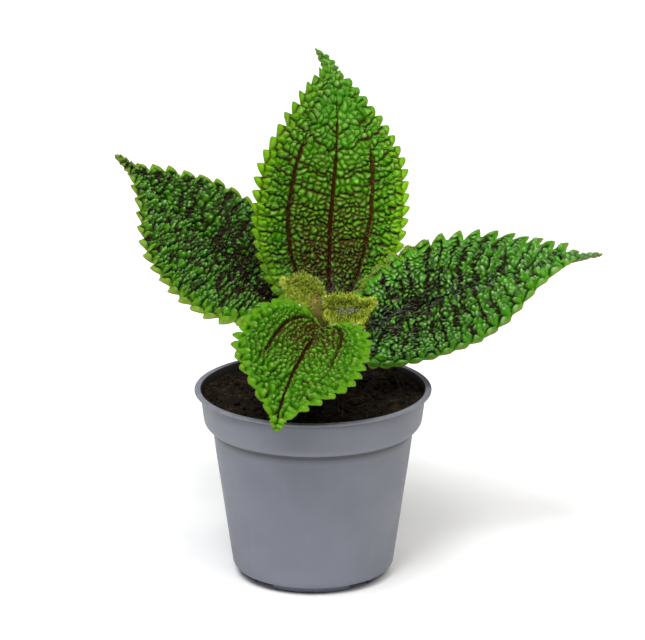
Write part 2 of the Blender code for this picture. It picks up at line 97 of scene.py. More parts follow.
def newMaterial(name):
    material = bpy.data.materials.new(name)
    material.use_nodes = True
    tree = material.node_tree
    return material, tree, tree.nodes["Principled BSDF"]


def connect(tree, node, inputs):
    # another node's socket is linked, and a plain value is set on the node's own socket
    for key, value in inputs.items():
        if isinstance(value, bpy.types.NodeSocket):
            tree.links.new(value, node.inputs[key])
        else:
            node.inputs[key].default_value = value


def addNode(tree, kind, settings=None, inputs=None):
    node = tree.nodes.new(kind)
    for key, value in (settings or {}).items():
        setattr(node, key, value)
    connect(tree, node, inputs or {})
    return node


def colour(rgb):
    return (*rgb, 1.0)


def mixColour(tree, factor, first, second):
    inputs = {0: factor}
    for socket, value in ((6, first), (7, second)):
        inputs[socket] = value if isinstance(value, bpy.types.NodeSocket) else colour(value)
    return addNode(tree, "ShaderNodeMix", {"data_type": "RGBA"}, inputs).outputs[2]


def calculate(tree, operation, first, second):
    node = addNode(tree, "ShaderNodeMath", {"operation": operation}, {0: first, 1: second})
    return node.outputs["Value"]


def tint(tree, base, rgb, mask, share):
    # lays a colour over the base where the mask is
    return mixColour(tree, calculate(tree, "MULTIPLY", mask, share), base, rgb)


def remap(tree, value, low, high, toLow=0.0, toHigh=1.0):
    inputs = {"Value": value, "From Min": low, "From Max": high, "To Min": toLow, "To Max": toHigh}
    return addNode(tree, "ShaderNodeMapRange", None, inputs).outputs["Result"]


def fadeIn(tree, value, limits, most=1.0):
    # nothing at the first limit and most at the second, both in millimetres
    return remap(tree, value, limits[0] * mm, limits[1] * mm, 0.0, most)


def objectCoordinates(tree):
    return addNode(tree, "ShaderNodeTexCoord").outputs["Object"]


def objectAxis(tree, axis):
    inputs = {0: objectCoordinates(tree)}
    return addNode(tree, "ShaderNodeSeparateXYZ", None, inputs).outputs[axis]


def noise(tree, scale, detail, stretch=None):
    place = objectCoordinates(tree)
    if stretch:
        mapping = {"Vector": place, "Scale": stretch}
        place = addNode(tree, "ShaderNodeMapping", None, mapping).outputs["Vector"]
    inputs = {"Vector": place, "Scale": scale, "Detail": detail}
    return addNode(tree, "ShaderNodeTexNoise", None, inputs).outputs["Fac"]


def read(tree, name):
    return addNode(tree, "ShaderNodeAttribute", {"attribute_name": name}).outputs["Fac"]


def bumpFrom(tree, height, strength, distance):
    inputs = {"Height": height, "Strength": strength, "Distance": distance}
    return addNode(tree, "ShaderNodeBump", None, inputs).outputs["Normal"]


def unit(vectors):
    return vectors / np.linalg.norm(vectors, axis=-1)[..., None]


def headingVector(heading, pitch):
    return np.stack([np.cos(pitch) * np.cos(heading), np.cos(pitch) * np.sin(heading), np.sin(pitch)], -1)


# Camera, floor and light

view = {
    "lookAt": (0.003583, 0.0, 0.10005),   # from the pot's axis
    "pitch": 17.07,                       # degrees down
    "distance": 1.5,
    "widthSeen": 0.2433,
}


def makeCamera():
    data = bpy.data.cameras.new("camera")
    data.sensor_fit = "HORIZONTAL"
    data.lens = data.sensor_width * view["distance"] / view["widthSeen"]
    data.clip_end = 20.0
    camera = bpy.data.objects.new("camera", data)
    scene.collection.objects.link(camera)
    pitch = math.radians(view["pitch"])
    back = Vector((0.0, -math.cos(pitch), math.sin(pitch))) * view["distance"]
    camera.location = Vector(potAxis.tolist()) + Vector(view["lookAt"]) + back
    camera.rotation_euler = (math.pi / 2 - pitch, 0.0, 0.0)
    scene.camera = camera


light = {
    "world": (1.0, 1.0, 1.0),
    "worldStrength": 0.15,
    "suns": {                                        # heading, height over the floor, spread, strength
        "keyLeft": (-112.0, 56.0, 24.0, 2.05),
        "keyRight": (-62.0, 50.0, 30.0, 0.82),
        "sky": (-90.0, 78.0, 80.0, 1.85),
    },
    "tints": {"keyLeft": (0.98, 0.99, 1.0), "keyRight": (1.0, 0.96, 0.89), "sky": (1.0, 1.0, 1.0)},
}


def makeLight():
    world = bpy.data.worlds.new("studio")
    world.use_nodes = True
    inputs = {"Color": colour(light["world"]), "Strength": light["worldStrength"]}
    connect(world.node_tree, world.node_tree.nodes["Background"], inputs)
    scene.world = world
    scene.view_settings.view_transform = "Standard"
    for name, (heading, height, spread, strength) in light["suns"].items():
        data = bpy.data.lights.new(name, "SUN")
        data.angle = math.radians(spread)
        data.energy = strength
        data.color = light["tints"][name]
        lamp = bpy.data.objects.new(name, data)
        scene.collection.objects.link(lamp)
        towards = headingVector(np.radians(heading), np.radians(height))
        lamp.location = Vector(towards.tolist())
        lamp.rotation_euler = (-lamp.location).to_track_quat("-Z", "Y").to_euler()


table = {
    "size": 6.0,
    "below": 0.2,                       # mm under the pot's foot
    "pale": (0.93, 0.93, 0.93),
    "paler": (0.95, 0.95, 0.95),
    # the grey that the painted pool of light fades to outside
    "edge": (0.50, 0.50, 0.50),
    "paintedLightPoolShift": (0.0, -0.50, 0.0),     # how the painted pool of light's round gradient is moved and stretched
    "paintedLightPoolScale": (1.6, 0.75, 1.0),
    "paintedLightPoolFade": (0.15, 0.44),
}


def makeTable():
    floor = addPrimitive(bpy.ops.mesh.primitive_plane_add, size=table["size"],
                         location=(0.0, 0.0, -table["below"] * mm))
    floor.name = "floor"
    settle(floor)
    material, tree, shader = newMaterial("paleFloor")
    base = mixColour(tree, remap(tree, noise(tree, 60.0, 3.0), 0.3, 0.7), table["pale"], table["paler"])
    # painted pool of light: the floor is painted greyer outside a pale pool round the pot, so that it throws
    # less light back
    place = {"Vector": objectCoordinates(tree), "Location": table["paintedLightPoolShift"], "Scale": table["paintedLightPoolScale"]}
    stretched = addNode(tree, "ShaderNodeMapping", None, place).outputs["Vector"]
    settings = {"gradient_type": "SPHERICAL"}
    paintedLightPool = addNode(tree, "ShaderNodeTexGradient", settings, {"Vector": stretched}).outputs["Fac"]
    base = mixColour(tree, remap(tree, paintedLightPool, *table["paintedLightPoolFade"]), table["edge"], base)
    connect(tree, shader, {"Base Color": base, "Roughness": 0.9, "Specular IOR Level": 0.1})
    floor.data.materials.append(material)


makeCamera()
makeLight()
makeTable()
print("camera, floor and light are set")


# Pot, in millimetres

pot = {
    "sides": 144,
    # outer side from the lip's inner edge over the lip and down to the foot, then up inside: radius, height
    "profile": (
        (42.45, 72.95), (42.62, 73.22), (42.95, 73.30), (44.60, 73.30), (44.90, 73.20), (45.00, 72.98),
        (44.97, 72.62), (44.75, 72.40), (43.60, 72.30), (43.00, 72.12), (42.80, 71.70), (42.72, 70.80),
        (42.30, 67.60), (41.85, 64.20), (41.60, 62.30), (41.50, 61.55), (41.25, 60.75), (40.80, 59.95),
        (40.15, 59.25), (39.40, 58.68), (38.85, 58.35), (38.38, 58.15), (38.12, 57.75), (37.50, 52.80),
        (36.40, 44.60), (34.60, 32.00), (32.70, 18.60), (31.30, 8.80), (30.90, 6.00), (30.72, 4.85),
        (30.30, 3.90), (29.60, 3.20), (28.60, 2.85), (27.20, 2.80), (26.30, 2.78), (26.05, 2.60),
        (26.00, 2.30), (26.00, 0.30), (25.72, 0.02), (25.60, 0.00), (24.30, 0.00), (24.12, 0.03),
        (23.90, 0.30), (23.65, 1.90), (23.30, 2.00), (4.00, 2.00), (4.00, 3.00), (28.00, 3.10),
        (29.00, 3.50), (29.80, 4.40), (30.10, 6.30), (37.15, 57.30), (37.55, 58.10), (39.00, 59.25),
        (40.20, 60.60), (40.65, 62.30), (41.70, 69.50), (42.10, 71.40),
    ),
    "footRing": 25.0,                   # radius of the foot ring's middle
    "cutLength": 6.0,                   # of the box that cuts a gap or a dip through the ring
    "gapWidth": 10.0,
    "gapTop": 2.3,
    "gapAngle": -137.0,
    "dipWidth": 5.4,
    "dipDepth": 0.5,
    "drainRadius": 4.0,
    "drainRing": 16.5,
    "drainSides": 32,
    "drainCut": (2.5, 4.0),             # height of the cutter's middle and its length
    "smoothBelow": 38.0,                # edges turn sharp past this angle
    "plastic": (0.172, 0.181, 0.226),
    "rubbed": (0.27, 0.275, 0.30),
    "shade": (0.126, 0.132, 0.160),
    # painted light: a lighter tone for the band under the lip and all above it, against the lip's shade
    "band": (0.205, 0.216, 0.256),
    # painted shade for the pot's right side
    "paintedSideShade": (0.158, 0.166, 0.190),
    # painted shade for the creases
    "paintedCreaseShade": (0.098, 0.100, 0.118),
    "innerWallDark": (0.016, 0.013, 0.010),
    "lipScuffs": (72.2, 73.1),          # heights that a look fades in between
    "bandFoot": (58.6, 60.6),
    # heights of the creases that get painted shade
    "paintedShadeCorners": ((56.9, 58.1), (71.1, 72.1)),
    "innerWallDarkHeights": (55.0, 60.0),
    "paintedShadeSide": (-10.0, 28.0),         # painted shade on the right side, fading in from left to right
    "wallLean": 0.2,                    # the inner wall goes outwards by this share of its rise
    "insideRadius": (28.25, 27.95),     # of that wall, carried down to the floor
}


def plasticMaterial():
    material, tree, shader = newMaterial("bluegreyPlastic")
    cloudy = noise(tree, 55.0, 4.0)
    base = mixColour(tree, remap(tree, cloudy, 0.35, 0.70, 0.0, 0.35), pot["plastic"], pot["shade"])
    streaks = noise(tree, 160.0, 5.0, (1.0, 1.0, 0.12))
    base = mixColour(tree, remap(tree, streaks, 0.60, 0.78, 0.0, 0.10), base, pot["rubbed"])
    height = objectAxis(tree, "Z")
    scuffs = remap(tree, noise(tree, 240.0, 6.0), 0.42, 0.62)
    base = tint(tree, base, pot["rubbed"], fadeIn(tree, height, pot["lipScuffs"]), scuffs)
    # painted light: from the band up, the plastic is painted lighter against the shade under the lip
    base = mixColour(tree, fadeIn(tree, height, pot["bandFoot"], 0.6), base, pot["band"])
    # painted shade: the right side of the pot is painted darker and greyer
    base = mixColour(tree, fadeIn(tree, objectAxis(tree, "X"), pot["paintedShadeSide"], 0.7), base, pot["paintedSideShade"])
    # painted shade in the creases under the band and under the lip
    for low, high in pot["paintedShadeCorners"]:
        middle = (low + high) / 2
        rising = fadeIn(tree, height, (low - 0.3, middle - 0.1))
        falling = fadeIn(tree, height, (high + 0.3, middle + 0.2))
        base = tint(tree, base, pot["paintedCreaseShade"], calculate(tree, "MULTIPLY", rising, falling), 0.8)
    # the inner wall is made darker, fading in between 55 and 60 mm up
    level = addNode(tree, "ShaderNodeVectorMath", {"operation": "MULTIPLY"},
                    {0: objectCoordinates(tree), 1: (1.0, 1.0, 0.0)}).outputs["Vector"]
    radius = addNode(tree, "ShaderNodeVectorMath", {"operation": "DISTANCE"},
                     {0: level, 1: (potAxis[0], potAxis[1], 0.0)}).outputs["Value"]
    lean = calculate(tree, "MULTIPLY", height, pot["wallLean"])
    inside = fadeIn(tree, calculate(tree, "SUBTRACT", radius, lean), pot["insideRadius"])
    base = tint(tree, base, pot["innerWallDark"], inside, fadeIn(tree, height, pot["innerWallDarkHeights"]))
    connect(tree, shader, {
        "Base Color": base,
        "Roughness": remap(tree, cloudy, 0.3, 0.7, 0.42, 0.56),
        "Specular IOR Level": 0.45,
        "Normal": bumpFrom(tree, noise(tree, 2600.0, 2.0), 0.10, 0.0002),
    })
    return material


def cutWith(piece, cutter):
    boolean = piece.modifiers.new("cut", "BOOLEAN")
    boolean.object = cutter
    boolean.operation = "DIFFERENCE"
    boolean.solver = "EXACT"
    makeActive(piece)
    bpy.ops.object.modifier_apply(modifier=boolean.name)
    bpy.data.objects.remove(cutter, do_unlink=True)


def cutFootRing(piece, width, top, angle):
    # a box from 1 mm under the foot up to the given height
    place = (pot["footRing"] * mm, 0.0, (top - 1.0) / 2 * mm)
    cutter = addPrimitive(bpy.ops.mesh.primitive_cube_add, size=1.0, location=place)
    cutter.scale = (pot["cutLength"] * mm, width * mm, (top + 1.0) * mm)
    settle(cutter)
    cutter.rotation_euler = (0.0, 0.0, math.radians(angle))
    cutter.location = Vector(potAxis.tolist())
    settle(cutter)
    cutWith(piece, cutter)


def cutDrain(piece, angle):
    turned = math.radians(angle)
    middle, length = pot["drainCut"]
    place = (potAxis[0] + pot["drainRing"] * mm * math.cos(turned),
             potAxis[1] + pot["drainRing"] * mm * math.sin(turned), middle * mm)
    cutter = addPrimitive(bpy.ops.mesh.primitive_cylinder_add, vertices=pot["drainSides"],
                          radius=pot["drainRadius"] * mm, depth=length * mm, location=place)
    settle(cutter)
    cutWith(piece, cutter)


def makePot():
    profile = pot["profile"]
    piece = addPrimitive(
        bpy.ops.mesh.primitive_circle_add, vertices=pot["sides"], radius=profile[0][0] * mm,
        fill_type="NOTHING", location=(potAxis[0], potAxis[1], profile[0][1] * mm))
    piece.name = "potShell"
    bpy.ops.object.mode_set(mode="EDIT")
    centre = (potAxis[0], potAxis[1], 0.0)
    for (radius, height), (nextRadius, nextHeight) in zip(profile, profile[1:] + profile[:1]):
        rise = (0.0, 0.0, (nextHeight - height) * mm)
        bpy.ops.mesh.extrude_region_move(TRANSFORM_OT_translate={"value": rise})
        grow = nextRadius / radius
        bpy.ops.transform.resize(value=(grow, grow, 1.0), center_override=centre)
    bpy.ops.mesh.select_all(action="SELECT")
    bpy.ops.mesh.remove_doubles(threshold=0.00001)
    bpy.ops.mesh.normals_make_consistent(inside=False)
    bpy.ops.object.mode_set(mode="OBJECT")
    settle(piece)
    for quarter in range(4):
        angle = pot["gapAngle"] + 90.0 * quarter
        cutFootRing(piece, pot["gapWidth"], pot["gapTop"], angle)
        cutFootRing(piece, pot["dipWidth"], pot["dipDepth"], angle + 45.0)
        cutDrain(piece, angle)
    piece.data.materials.clear()
    piece.data.materials.append(plasticMaterial())
    makeActive(piece)
    bpy.ops.object.shade_smooth_by_angle(angle=math.radians(pot["smoothBelow"]))
    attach(piece, "root")
    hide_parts("pot")
    print("pot:", len(piece.data.polygons), "faces")


makePot()


# Soil, in millimetres

soil = {
    "top": 70.7,
    "edgeRadius": 41.65,
    # the plug's side, from its foot up: radius, height
    "side": ((28.4, 3.4), (29.4, 6.4), (36.6, 57.0), (38.4, 59.5), (39.8, 62.3), (40.9, 67.2)),
    "waves": ((0.45, 9, 24.0), (0.30, 14, 7.0), (0.16, 18, 2.6)),      # height, how many, length
    "rings": 70,
    "turns": 220,
    "crumbs": 1500,
    "crumbSize": (0.25, 1.15),          # the least, and what the largest have on top
    "crumbReach": 0.985,                # how far out they lie, as a share of the edge's radius
    "crumbDents": (0.55, 1.25),
    "crumbStretch": (0.6, 1.3),
    "fibres": 90,
    "fibreLength": (2.0, 8.0),
    "fibreRadius": 0.10,
    "fibreRise": (-0.05, 0.22),
    "fibreLift": 0.45,                  # over the soil
    "fibreReach": 0.95,
    "fibreEnd": 40.0,                   # none ends further out than this
    "seed": 5,
    "dark": (0.006, 0.0045, 0.003),
    "brown": (0.026, 0.016, 0.008),
    "fibre": (0.20, 0.105, 0.035),
}


def soilMaterial():
    material, tree, shader = newMaterial("peatSoil")
    patches = noise(tree, 420.0, 6.0)
    connect(tree, shader, {
        "Base Color": mixColour(tree, remap(tree, patches, 0.45, 0.68), soil["dark"], soil["brown"]),
        "Roughness": 0.92,
        "Specular IOR Level": 0.1,
        "Normal": bumpFrom(tree, noise(tree, 1800.0, 6.0), 0.6, 0.0005),
    })
    return material


def fibreMaterial():
    material, tree, shader = newMaterial("peatFibre")
    patches = remap(tree, noise(tree, 500.0, 4.0), 0.35, 0.65)
    base = mixColour(tree, patches, soil["fibre"], soil["brown"])
    connect(tree, shader, {"Base Color": base, "Roughness": 0.8})
    return material


def waves(x, y, draw, count, size):
    total = np.zeros_like(x)
    for _ in range(count):
        heading = draw.uniform(0, math.tau)
        length = size * draw.uniform(0.6, 1.6)
        turn = (x * math.cos(heading) + y * math.sin(heading)) * math.tau / length
        total += np.sin(turn + draw.uniform(0, math.tau))
    return total / math.sqrt(count)


def soilLevel(x, y):
    draw = np.random.default_rng(soil["seed"])
    level = soil["top"] * mm
    for height, count, length in soil["waves"]:
        level = level + height * mm * waves(x, y, draw, count, length * mm)
    return level


def makeSoil(material):
    rings, turns = soil["rings"], soil["turns"]
    shares = np.linspace(1.0, 0.0, rings, endpoint=False)
    angles = np.arange(turns) * math.tau / turns
    radius, angle = np.meshgrid(soil["edgeRadius"] * mm * shares, angles, indexing="ij")
    x, y = radius * np.cos(angle), radius * np.sin(angle)
    top = np.stack([x, y, soilLevel(x, y)], -1)
    side = []
    for reach, height in soil["side"]:
        ring = [reach * mm * np.cos(angles), reach * mm * np.sin(angles), np.full(turns, height * mm)]
        side.append(np.stack(ring, -1))
    points = np.concatenate([np.array(side), top]).reshape(-1, 3)
    count = len(side) + rings
    ids = np.arange(count * turns).reshape(count, turns)
    after = np.roll(ids, -1, 1)
    quads = np.stack([ids[:-1], after[:-1], after[1:], ids[1:]], -1).reshape(-1, 4).tolist()
    points = np.vstack([points, [[0.0, 0.0, soil["top"] * mm]]])
    last = len(points) - 1
    fans = [(ids[-1, k], after[-1, k], last) for k in range(turns)]
    faces = quads + fans + [ids[0, ::-1].tolist()]
    body = meshPiece("soilBody", points, faces, material)
    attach(body, "root")
    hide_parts("soil")


def scatter(draw, count, reach):
    radius = soil["edgeRadius"] * mm * reach * np.sqrt(draw.uniform(0, 1, count))
    angle = draw.uniform(0, math.tau, count)
    return radius * np.cos(angle), radius * np.sin(angle)


def makeCrumbs(material):
    draw = np.random.default_rng(soil["seed"] + 1)
    ball = addPrimitive(bpy.ops.mesh.primitive_ico_sphere_add, subdivisions=1, radius=1.0)
    shape = np.array([vertex.co for vertex in ball.data.vertices])
    triangles = np.array([list(face.vertices) for face in ball.data.polygons])
    bpy.data.objects.remove(ball, do_unlink=True)
    count = soil["crumbs"]
    x, y = scatter(draw, count, soil["crumbReach"])
    least, more = soil["crumbSize"]
    size = mm * (least + more * draw.uniform(0, 1, count) ** 3)
    points = shape[None] * draw.uniform(*soil["crumbDents"], (count, len(shape), 1))
    points = points * (size[:, None, None] * draw.uniform(*soil["crumbStretch"], (count, 1, 3)))
    centre = np.stack([x, y, soilLevel(x, y) + 0.25 * size], -1)
    points = (points + centre[:, None]).reshape(-1, 3)
    faces = (triangles[None] + (np.arange(count) * len(shape))[:, None, None]).reshape(-1, 3)
    crumbs = meshPiece("soilCrumbs", points, faces.tolist(), material, False)
    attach(crumbs, "root")


def strands(roots, headings, lengths, radius, bend, draw, steps):
    # thin closed three-sided strands, each bent a little and drawn to a point, given as points and faces
    count = len(roots)
    side = unit(np.cross(headings, draw.normal(size=(count, 3))))
    third = np.cross(headings, side)
    rings = []
    for k in range(steps + 1):
        share = k / steps
        centre = roots + headings * (lengths * share)[:, None]
        centre = centre + side * (bend * lengths * share * share)[:, None]
        if k == steps:
            rings.append(centre)
            continue
        for turn in range(3):
            angle = turn * math.tau / 3
            offset = math.cos(angle) * side + math.sin(angle) * third
            rings.append(centre + offset * np.reshape(radius * (1.0 - 0.6 * share), (-1, 1)))
    points = np.stack(rings, 1)
    faces = [(2, 1, 0)]
    for k in range(steps):
        for turn in range(3):
            low, high = 3 * k, 3 * k + 3
            nextTurn = (turn + 1) % 3
            if k == steps - 1:
                faces.append((low + turn, low + nextTurn, high))
                continue
            faces.append((low + turn, low + nextTurn, high + nextTurn))
            faces.append((low + turn, high + nextTurn, high + turn))
    faces = np.array(faces)[None] + (np.arange(count) * points.shape[1])[:, None, None]
    return points.reshape(-1, 3), faces.reshape(-1, 3).tolist()


def makeFibres():
    draw = np.random.default_rng(soil["seed"] + 2)
    count = soil["fibres"]
    x, y = scatter(draw, count, soil["fibreReach"])
    heading = draw.uniform(0, math.tau, count)
    rise = draw.uniform(*soil["fibreRise"], count)
    headings = unit(np.stack([np.cos(heading), np.sin(heading), rise], -1))
    lengths = mm * draw.uniform(*soil["fibreLength"], count)
    roots = np.stack([x, y, soilLevel(x, y) + soil["fibreLift"] * mm], -1)
    reach = np.hypot(*(roots + headings * lengths[:, None])[:, :2].T)
    short = reach < soil["fibreEnd"] * mm
    radius = soil["fibreRadius"] * mm
    points, faces = strands(roots[short], headings[short], lengths[short], radius, 0.25, draw, 5)
    fibres = meshPiece("soilFibres", points, faces, fibreMaterial())
    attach(fibres, "root")


peat = soilMaterial()
makeSoil(peat)
makeCrumbs(peat)
makeFibres()
print("soil is filled")


# Leaves: the blade's outline and the way it bends are those of the solid

outline = np.array((
    (0.000, 0.000), (0.300, -0.050), (0.620, -0.035), (0.840, 0.065), (0.970, 0.220), (1.000, 0.380),
    (0.965, 0.530), (0.830, 0.640), (0.630, 0.730), (0.480, 0.800), (0.290, 0.868), (0.165, 0.905),
    (0.125, 0.950), (0.085, 0.985), (0.000, 1.000),
))
blade = {
    "outlineAspect": 3.2,
    "midribEase": 1.3,
    "crossArch": 1.5,
    "turnEase": 1.4,
    "turnSteps": 61,
    "drawnIn": 0.25,
    "thickness": 0.55 * mm,
    "topWidens": (0.64, 0.80),      # shares of the length between which the outline changes
    "tipWidens": (0.90, 0.94),
    "tipLeans": (0.80, 0.91),
    "mainTeethEnd": 0.915,          # the narrow tip has small teeth of its own past this share
    "tipTeeth": 4,
    "toothCurves": (1.8, 0.9),      # of its long lower side and of its short upper side
    "toothSizes": (0.72, 1.15),
    "nearCells": 14,
    "farOut": 9.0,                  # in half widths, past any rim
    "stalkPoints": 19,
    "stalkSides": 14,
    "stalkFlare": (1.35, 1.18, 1.06),
    "keelPoints": 16,
    "keelLength": 0.62,
    "keelTaper": 0.72,
}
upperJoint = np.array([0.0021, -0.0008, 0.0945])
lowerJoint = np.array([0.0013, -0.0004, 0.0845])
stemTip = np.array([0.0026, -0.0010, 0.1030])


def slopesOf(knots, values):
    rises = np.diff(values) / np.diff(knots)
    spans = np.diff(knots)
    inner = (rises[:-1] * spans[1:] + rises[1:] * spans[:-1]) / (spans[:-1] + spans[1:])
    return np.concatenate([[rises[0]], inner, [rises[-1]]])


outlineKnots = np.concatenate([[0.0], np.cumsum(
    np.hypot(np.diff(outline[:, 0]), blade["outlineAspect"] * np.diff(outline[:, 1])))])
outlineKnots /= outlineKnots[-1]
outlineSlopes = [slopesOf(outlineKnots, outline[:, k]) for k in (0, 1)]


def readOutline(column, at):
    k = np.clip(np.searchsorted(outlineKnots, at) - 1, 0, len(outlineKnots) - 2)
    span = outlineKnots[k + 1] - outlineKnots[k]
    t = (at - outlineKnots[k]) / span
    values, gradients = outline[:, column], outlineSlopes[column]
    return ((2 * t**3 - 3 * t**2 + 1) * values[k] + (t**3 - 2 * t**2 + t) * span * gradients[k]
            + (3 * t**2 - 2 * t**3) * values[k + 1] + (t**3 - t**2) * span * gradients[k + 1])


def smooth(value, low, high):
    t = np.clip((value - low) / (high - low), 0.0, 1.0)
    return t * t * (3 - 2 * t)


def widthAt(leaf, u):
    wider = 1 + leaf["topWide"] * smooth(u, *blade["topWidens"])
    wider = wider + leaf["tipWide"] * smooth(u, *blade["tipWidens"])
    return leaf["halfWidth"] * np.maximum(readOutline(0, u), 0.0) * wider


def flatPlace(leaf, u, v):
    lopsided = leaf["lopsided"] + leaf["tipLopsided"] * smooth(u, *blade["tipLeans"])
    x = widthAt(leaf, u) * v * (1 + lopsided * np.sign(v))
    midrib = u ** blade["midribEase"]
    y = leaf["length"] * (midrib + (readOutline(1, u) - midrib) * np.abs(v) ** blade["crossArch"])
    return x, y + leaf["skew"] * x


def midribFrames(leaf):
    share = np.linspace(-0.15, 1.0, blade["turnSteps"])      # from a little behind the blade's base
    ease = np.maximum(share, 0.0) ** blade["turnEase"]
    heading, pitch, roll = (np.radians(leaf[turn][0] + (leaf[turn][1] - leaf[turn][0]) * ease)
                            for turn in ("heading", "pitch", "roll"))
    along = headingVector(heading, pitch)
    level = np.stack([-np.sin(heading), np.cos(heading), 0 * heading], -1)
    upper = np.cross(along, level)
    sine, cosine = np.sin(roll)[:, None], np.cos(roll)[:, None]
    sideways = cosine * level + sine * upper
    facing = -sine * level + cosine * upper
    step = leaf["length"] * (share[1] - share[0])
    line = np.concatenate([np.zeros((1, 3)), np.cumsum((along[1:] + along[:-1]) / 2 * step, 0)])
    frames = {"share": share, "line": line, "sideways": sideways, "facing": facing}
    start = readFrames(frames, "line", np.array([0.0]))[0]
    frames["line"] = line - start + np.array(leaf["base"])
    return frames


def readFrames(frames, name, at):
    share, values = frames["share"], frames[name]
    place = (at - share[0]) / (share[1] - share[0])
    k = np.clip(place.astype(int), 0, len(share) - 2)
    t = (place - k)[..., None]
    return values[k] * (1 - t) + values[k + 1] * t


def bend(leaf, frames, x, y, lift):
    at = y / leaf["length"]
    sideways = readFrames(frames, "sideways", at)
    facing = readFrames(frames, "facing", at)
    w = x / leaf["halfWidth"]
    curled = np.minimum(np.abs(w), np.where(w > 0, leaf["curlEnd"], blade["farOut"]))
    slope = leaf["fold"] - 2 * leaf["camber"] * curled          # straight past the curl's end
    rise = leaf["fold"] * curled - leaf["camber"] * curled * curled + slope * (np.abs(w) - curled)
    rise = leaf["halfWidth"] * rise
    tilt = np.where(np.abs(w) < 0.02, slope * w / 0.02, np.copysign(slope, w))   # rounded over the midrib
    normal = unit(facing - tilt[..., None] * sideways)
    drawnIn = x * (1 - blade["drawnIn"] * slope * slope)
    return (readFrames(frames, "line", at) + drawnIn[..., None] * sideways + rise[..., None] * facing
            + np.asarray(lift)[..., None] * normal)


def toothToU(leaf, tooth):
    main = leaf["teeth"] - blade["tipTeeth"]
    end = blade["mainTeethEnd"]
    return np.where(tooth < main, end * tooth / main, end + (1 - end) * (tooth - main) / blade["tipTeeth"])


def crossShift(leaf, v, tooth):
    # the cross veins run out and forward from the midrib, so a tooth's cells start lower at the midrib
    fade = smooth(tooth, 0.5, 7.0) * (1 - smooth(tooth, leaf["teeth"] - 6.0, leaf["teeth"] - 1.0))
    return leaf["crossRise"] * fade * np.abs(v) ** 1.2


def growthAt(leaf, u):
    low, high = leaf["growth"]
    return low + (high - low) * smooth(u, 0.10, 0.90)


def rowLevels(leaf):
    # the rows of bumps, counted in teeth, further apart towards the tip
    levels, level, ahead = [], 0.3, 0.4
    while level < leaf["teeth"] - 0.2:
        levels.append(level)
        here, there = (flatPlace(leaf, toothToU(leaf, np.array(at)), np.array(0.6))
                       for at in (level, level + ahead))
        toothLength = math.hypot(there[0] - here[0], there[1] - here[1]) / ahead
        pitch = leaf["rowPitch"] * float(growthAt(leaf, toothToU(leaf, np.array(level))))
        level += min(max(pitch / toothLength, 0.12), 1.0)
    return levels


def columnPlaces(width, bump):
    # from the rim in to the midrib, with wider bumps in the teeth
    places, inwards = [], 0.0
    while inwards < width - 0.25 * bump:
        pitch = bump * (1 + 0.8 * (1 - smooth(inwards, 1.5 * mm, 6.0 * mm)))
        places.append(1 - (inwards + 0.5 * pitch) / width)
        inwards += pitch
    return np.maximum(np.array(places or [0.5]), 0.4 * bump / width)


def bumpPlaces(leaf, draw):
    # a spot for each small bump; one or two bumps make a cell, and cells between the same veins a block
    spots, sizes, cells, blocks, places = [], [], [], [], []

    def addSpot(tooth, v, bump, level, place, cell):
        tooth = np.array(min(max(tooth, 0.1), leaf["teeth"] - 0.05))
        x, y = flatPlace(leaf, toothToU(leaf, tooth), np.array(v))
        spot = np.array([float(x), float(y)]) + draw.uniform(-1, 1, 2) * leaf["jitter"] * bump
        if spots and np.min(np.hypot(*(np.array(spots) - spot).T)) < leaf["apart"] * bump:
            return False
        outer = place > leaf["outerFrom"]
        outerTeeth, lowTeeth, highTeeth = leaf["blockTeeth"]
        if level >= leaf["wideBlocksFrom"] * leaf["teeth"]:
            lowTeeth = highTeeth
        wide = outerTeeth if outer else lowTeeth
        spots.append(spot)
        sizes.append(bump)
        places.append(place)
        blocks.append(int(level / wide) * 8 + int(wide * 1000) + (v > 0) * 4 + outer * 2)
        cells.append(blocks[-1] * 10000 + cell)
        return True

    for tooth in range(leaf["teeth"]):
        u = toothToU(leaf, np.array(tooth + 0.5))
        width = float(widthAt(leaf, u))
        bump = leaf["bump"] * float(growthAt(leaf, u))
        v = 1 - 0.9 * bump / max(width, 2 * bump)
        for side in (1, -1):
            addSpot(tooth + 0.45, side * v, bump, tooth + 0.45, 1.0, tooth)
    for level in reversed(rowLevels(leaf)):
        u = toothToU(leaf, np.array(level))
        bump = leaf["bump"] * float(growthAt(leaf, u))
        rowPlaces = columnPlaces(float(widthAt(leaf, u)), bump)
        for side in (1, -1):
            cell, room, offset = len(spots), 1, 0.0
            for place in rowPlaces[1 if len(rowPlaces) > 2 else 0:]:
                v = side * place
                tooth = level + float(crossShift(leaf, np.array(v), np.array(level))) + offset
                room -= addSpot(tooth, v, bump, level, place, 1000 + cell)
                if room <= 0:
                    cell, room = len(spots), int(draw.integers(1, leaf["cellMost"] + 1))
                    offset = draw.uniform(-1, 1) * leaf["cellJitter"]
    return tuple(np.array(values) for values in (spots, sizes, cells, blocks, places))


def cellSeeds(leaf, draw):
    # splits each bump into a few lobes around its middle, though not those in the teeth
    spots, sizes, cells, blocks, places = bumpPlaces(leaf, draw)
    lobes = np.array([1 if place > 0.999 else int(draw.integers(*leaf["lobes"])) for place in places])
    owner = np.repeat(np.arange(len(spots)), lobes)
    number = np.concatenate([np.arange(count) for count in lobes])
    several = lobes[owner]
    angle = draw.uniform(0, math.tau, len(spots))[owner] + number * math.tau / several
    angle = angle + draw.uniform(-0.5, 0.5, len(owner))
    reach = leaf["lobeReach"] * sizes[owner] * draw.uniform(0.75, 1.25, len(owner))
    reach = np.where(several > 1, reach, 0)
    middles = spots[owner] + np.stack([np.cos(angle), np.sin(angle)], -1) * reach[:, None]
    kin = np.array([np.arange(len(owner)), cells[owner], blocks[owner]])
    return middles, sizes[owner] / several ** 0.45, kin


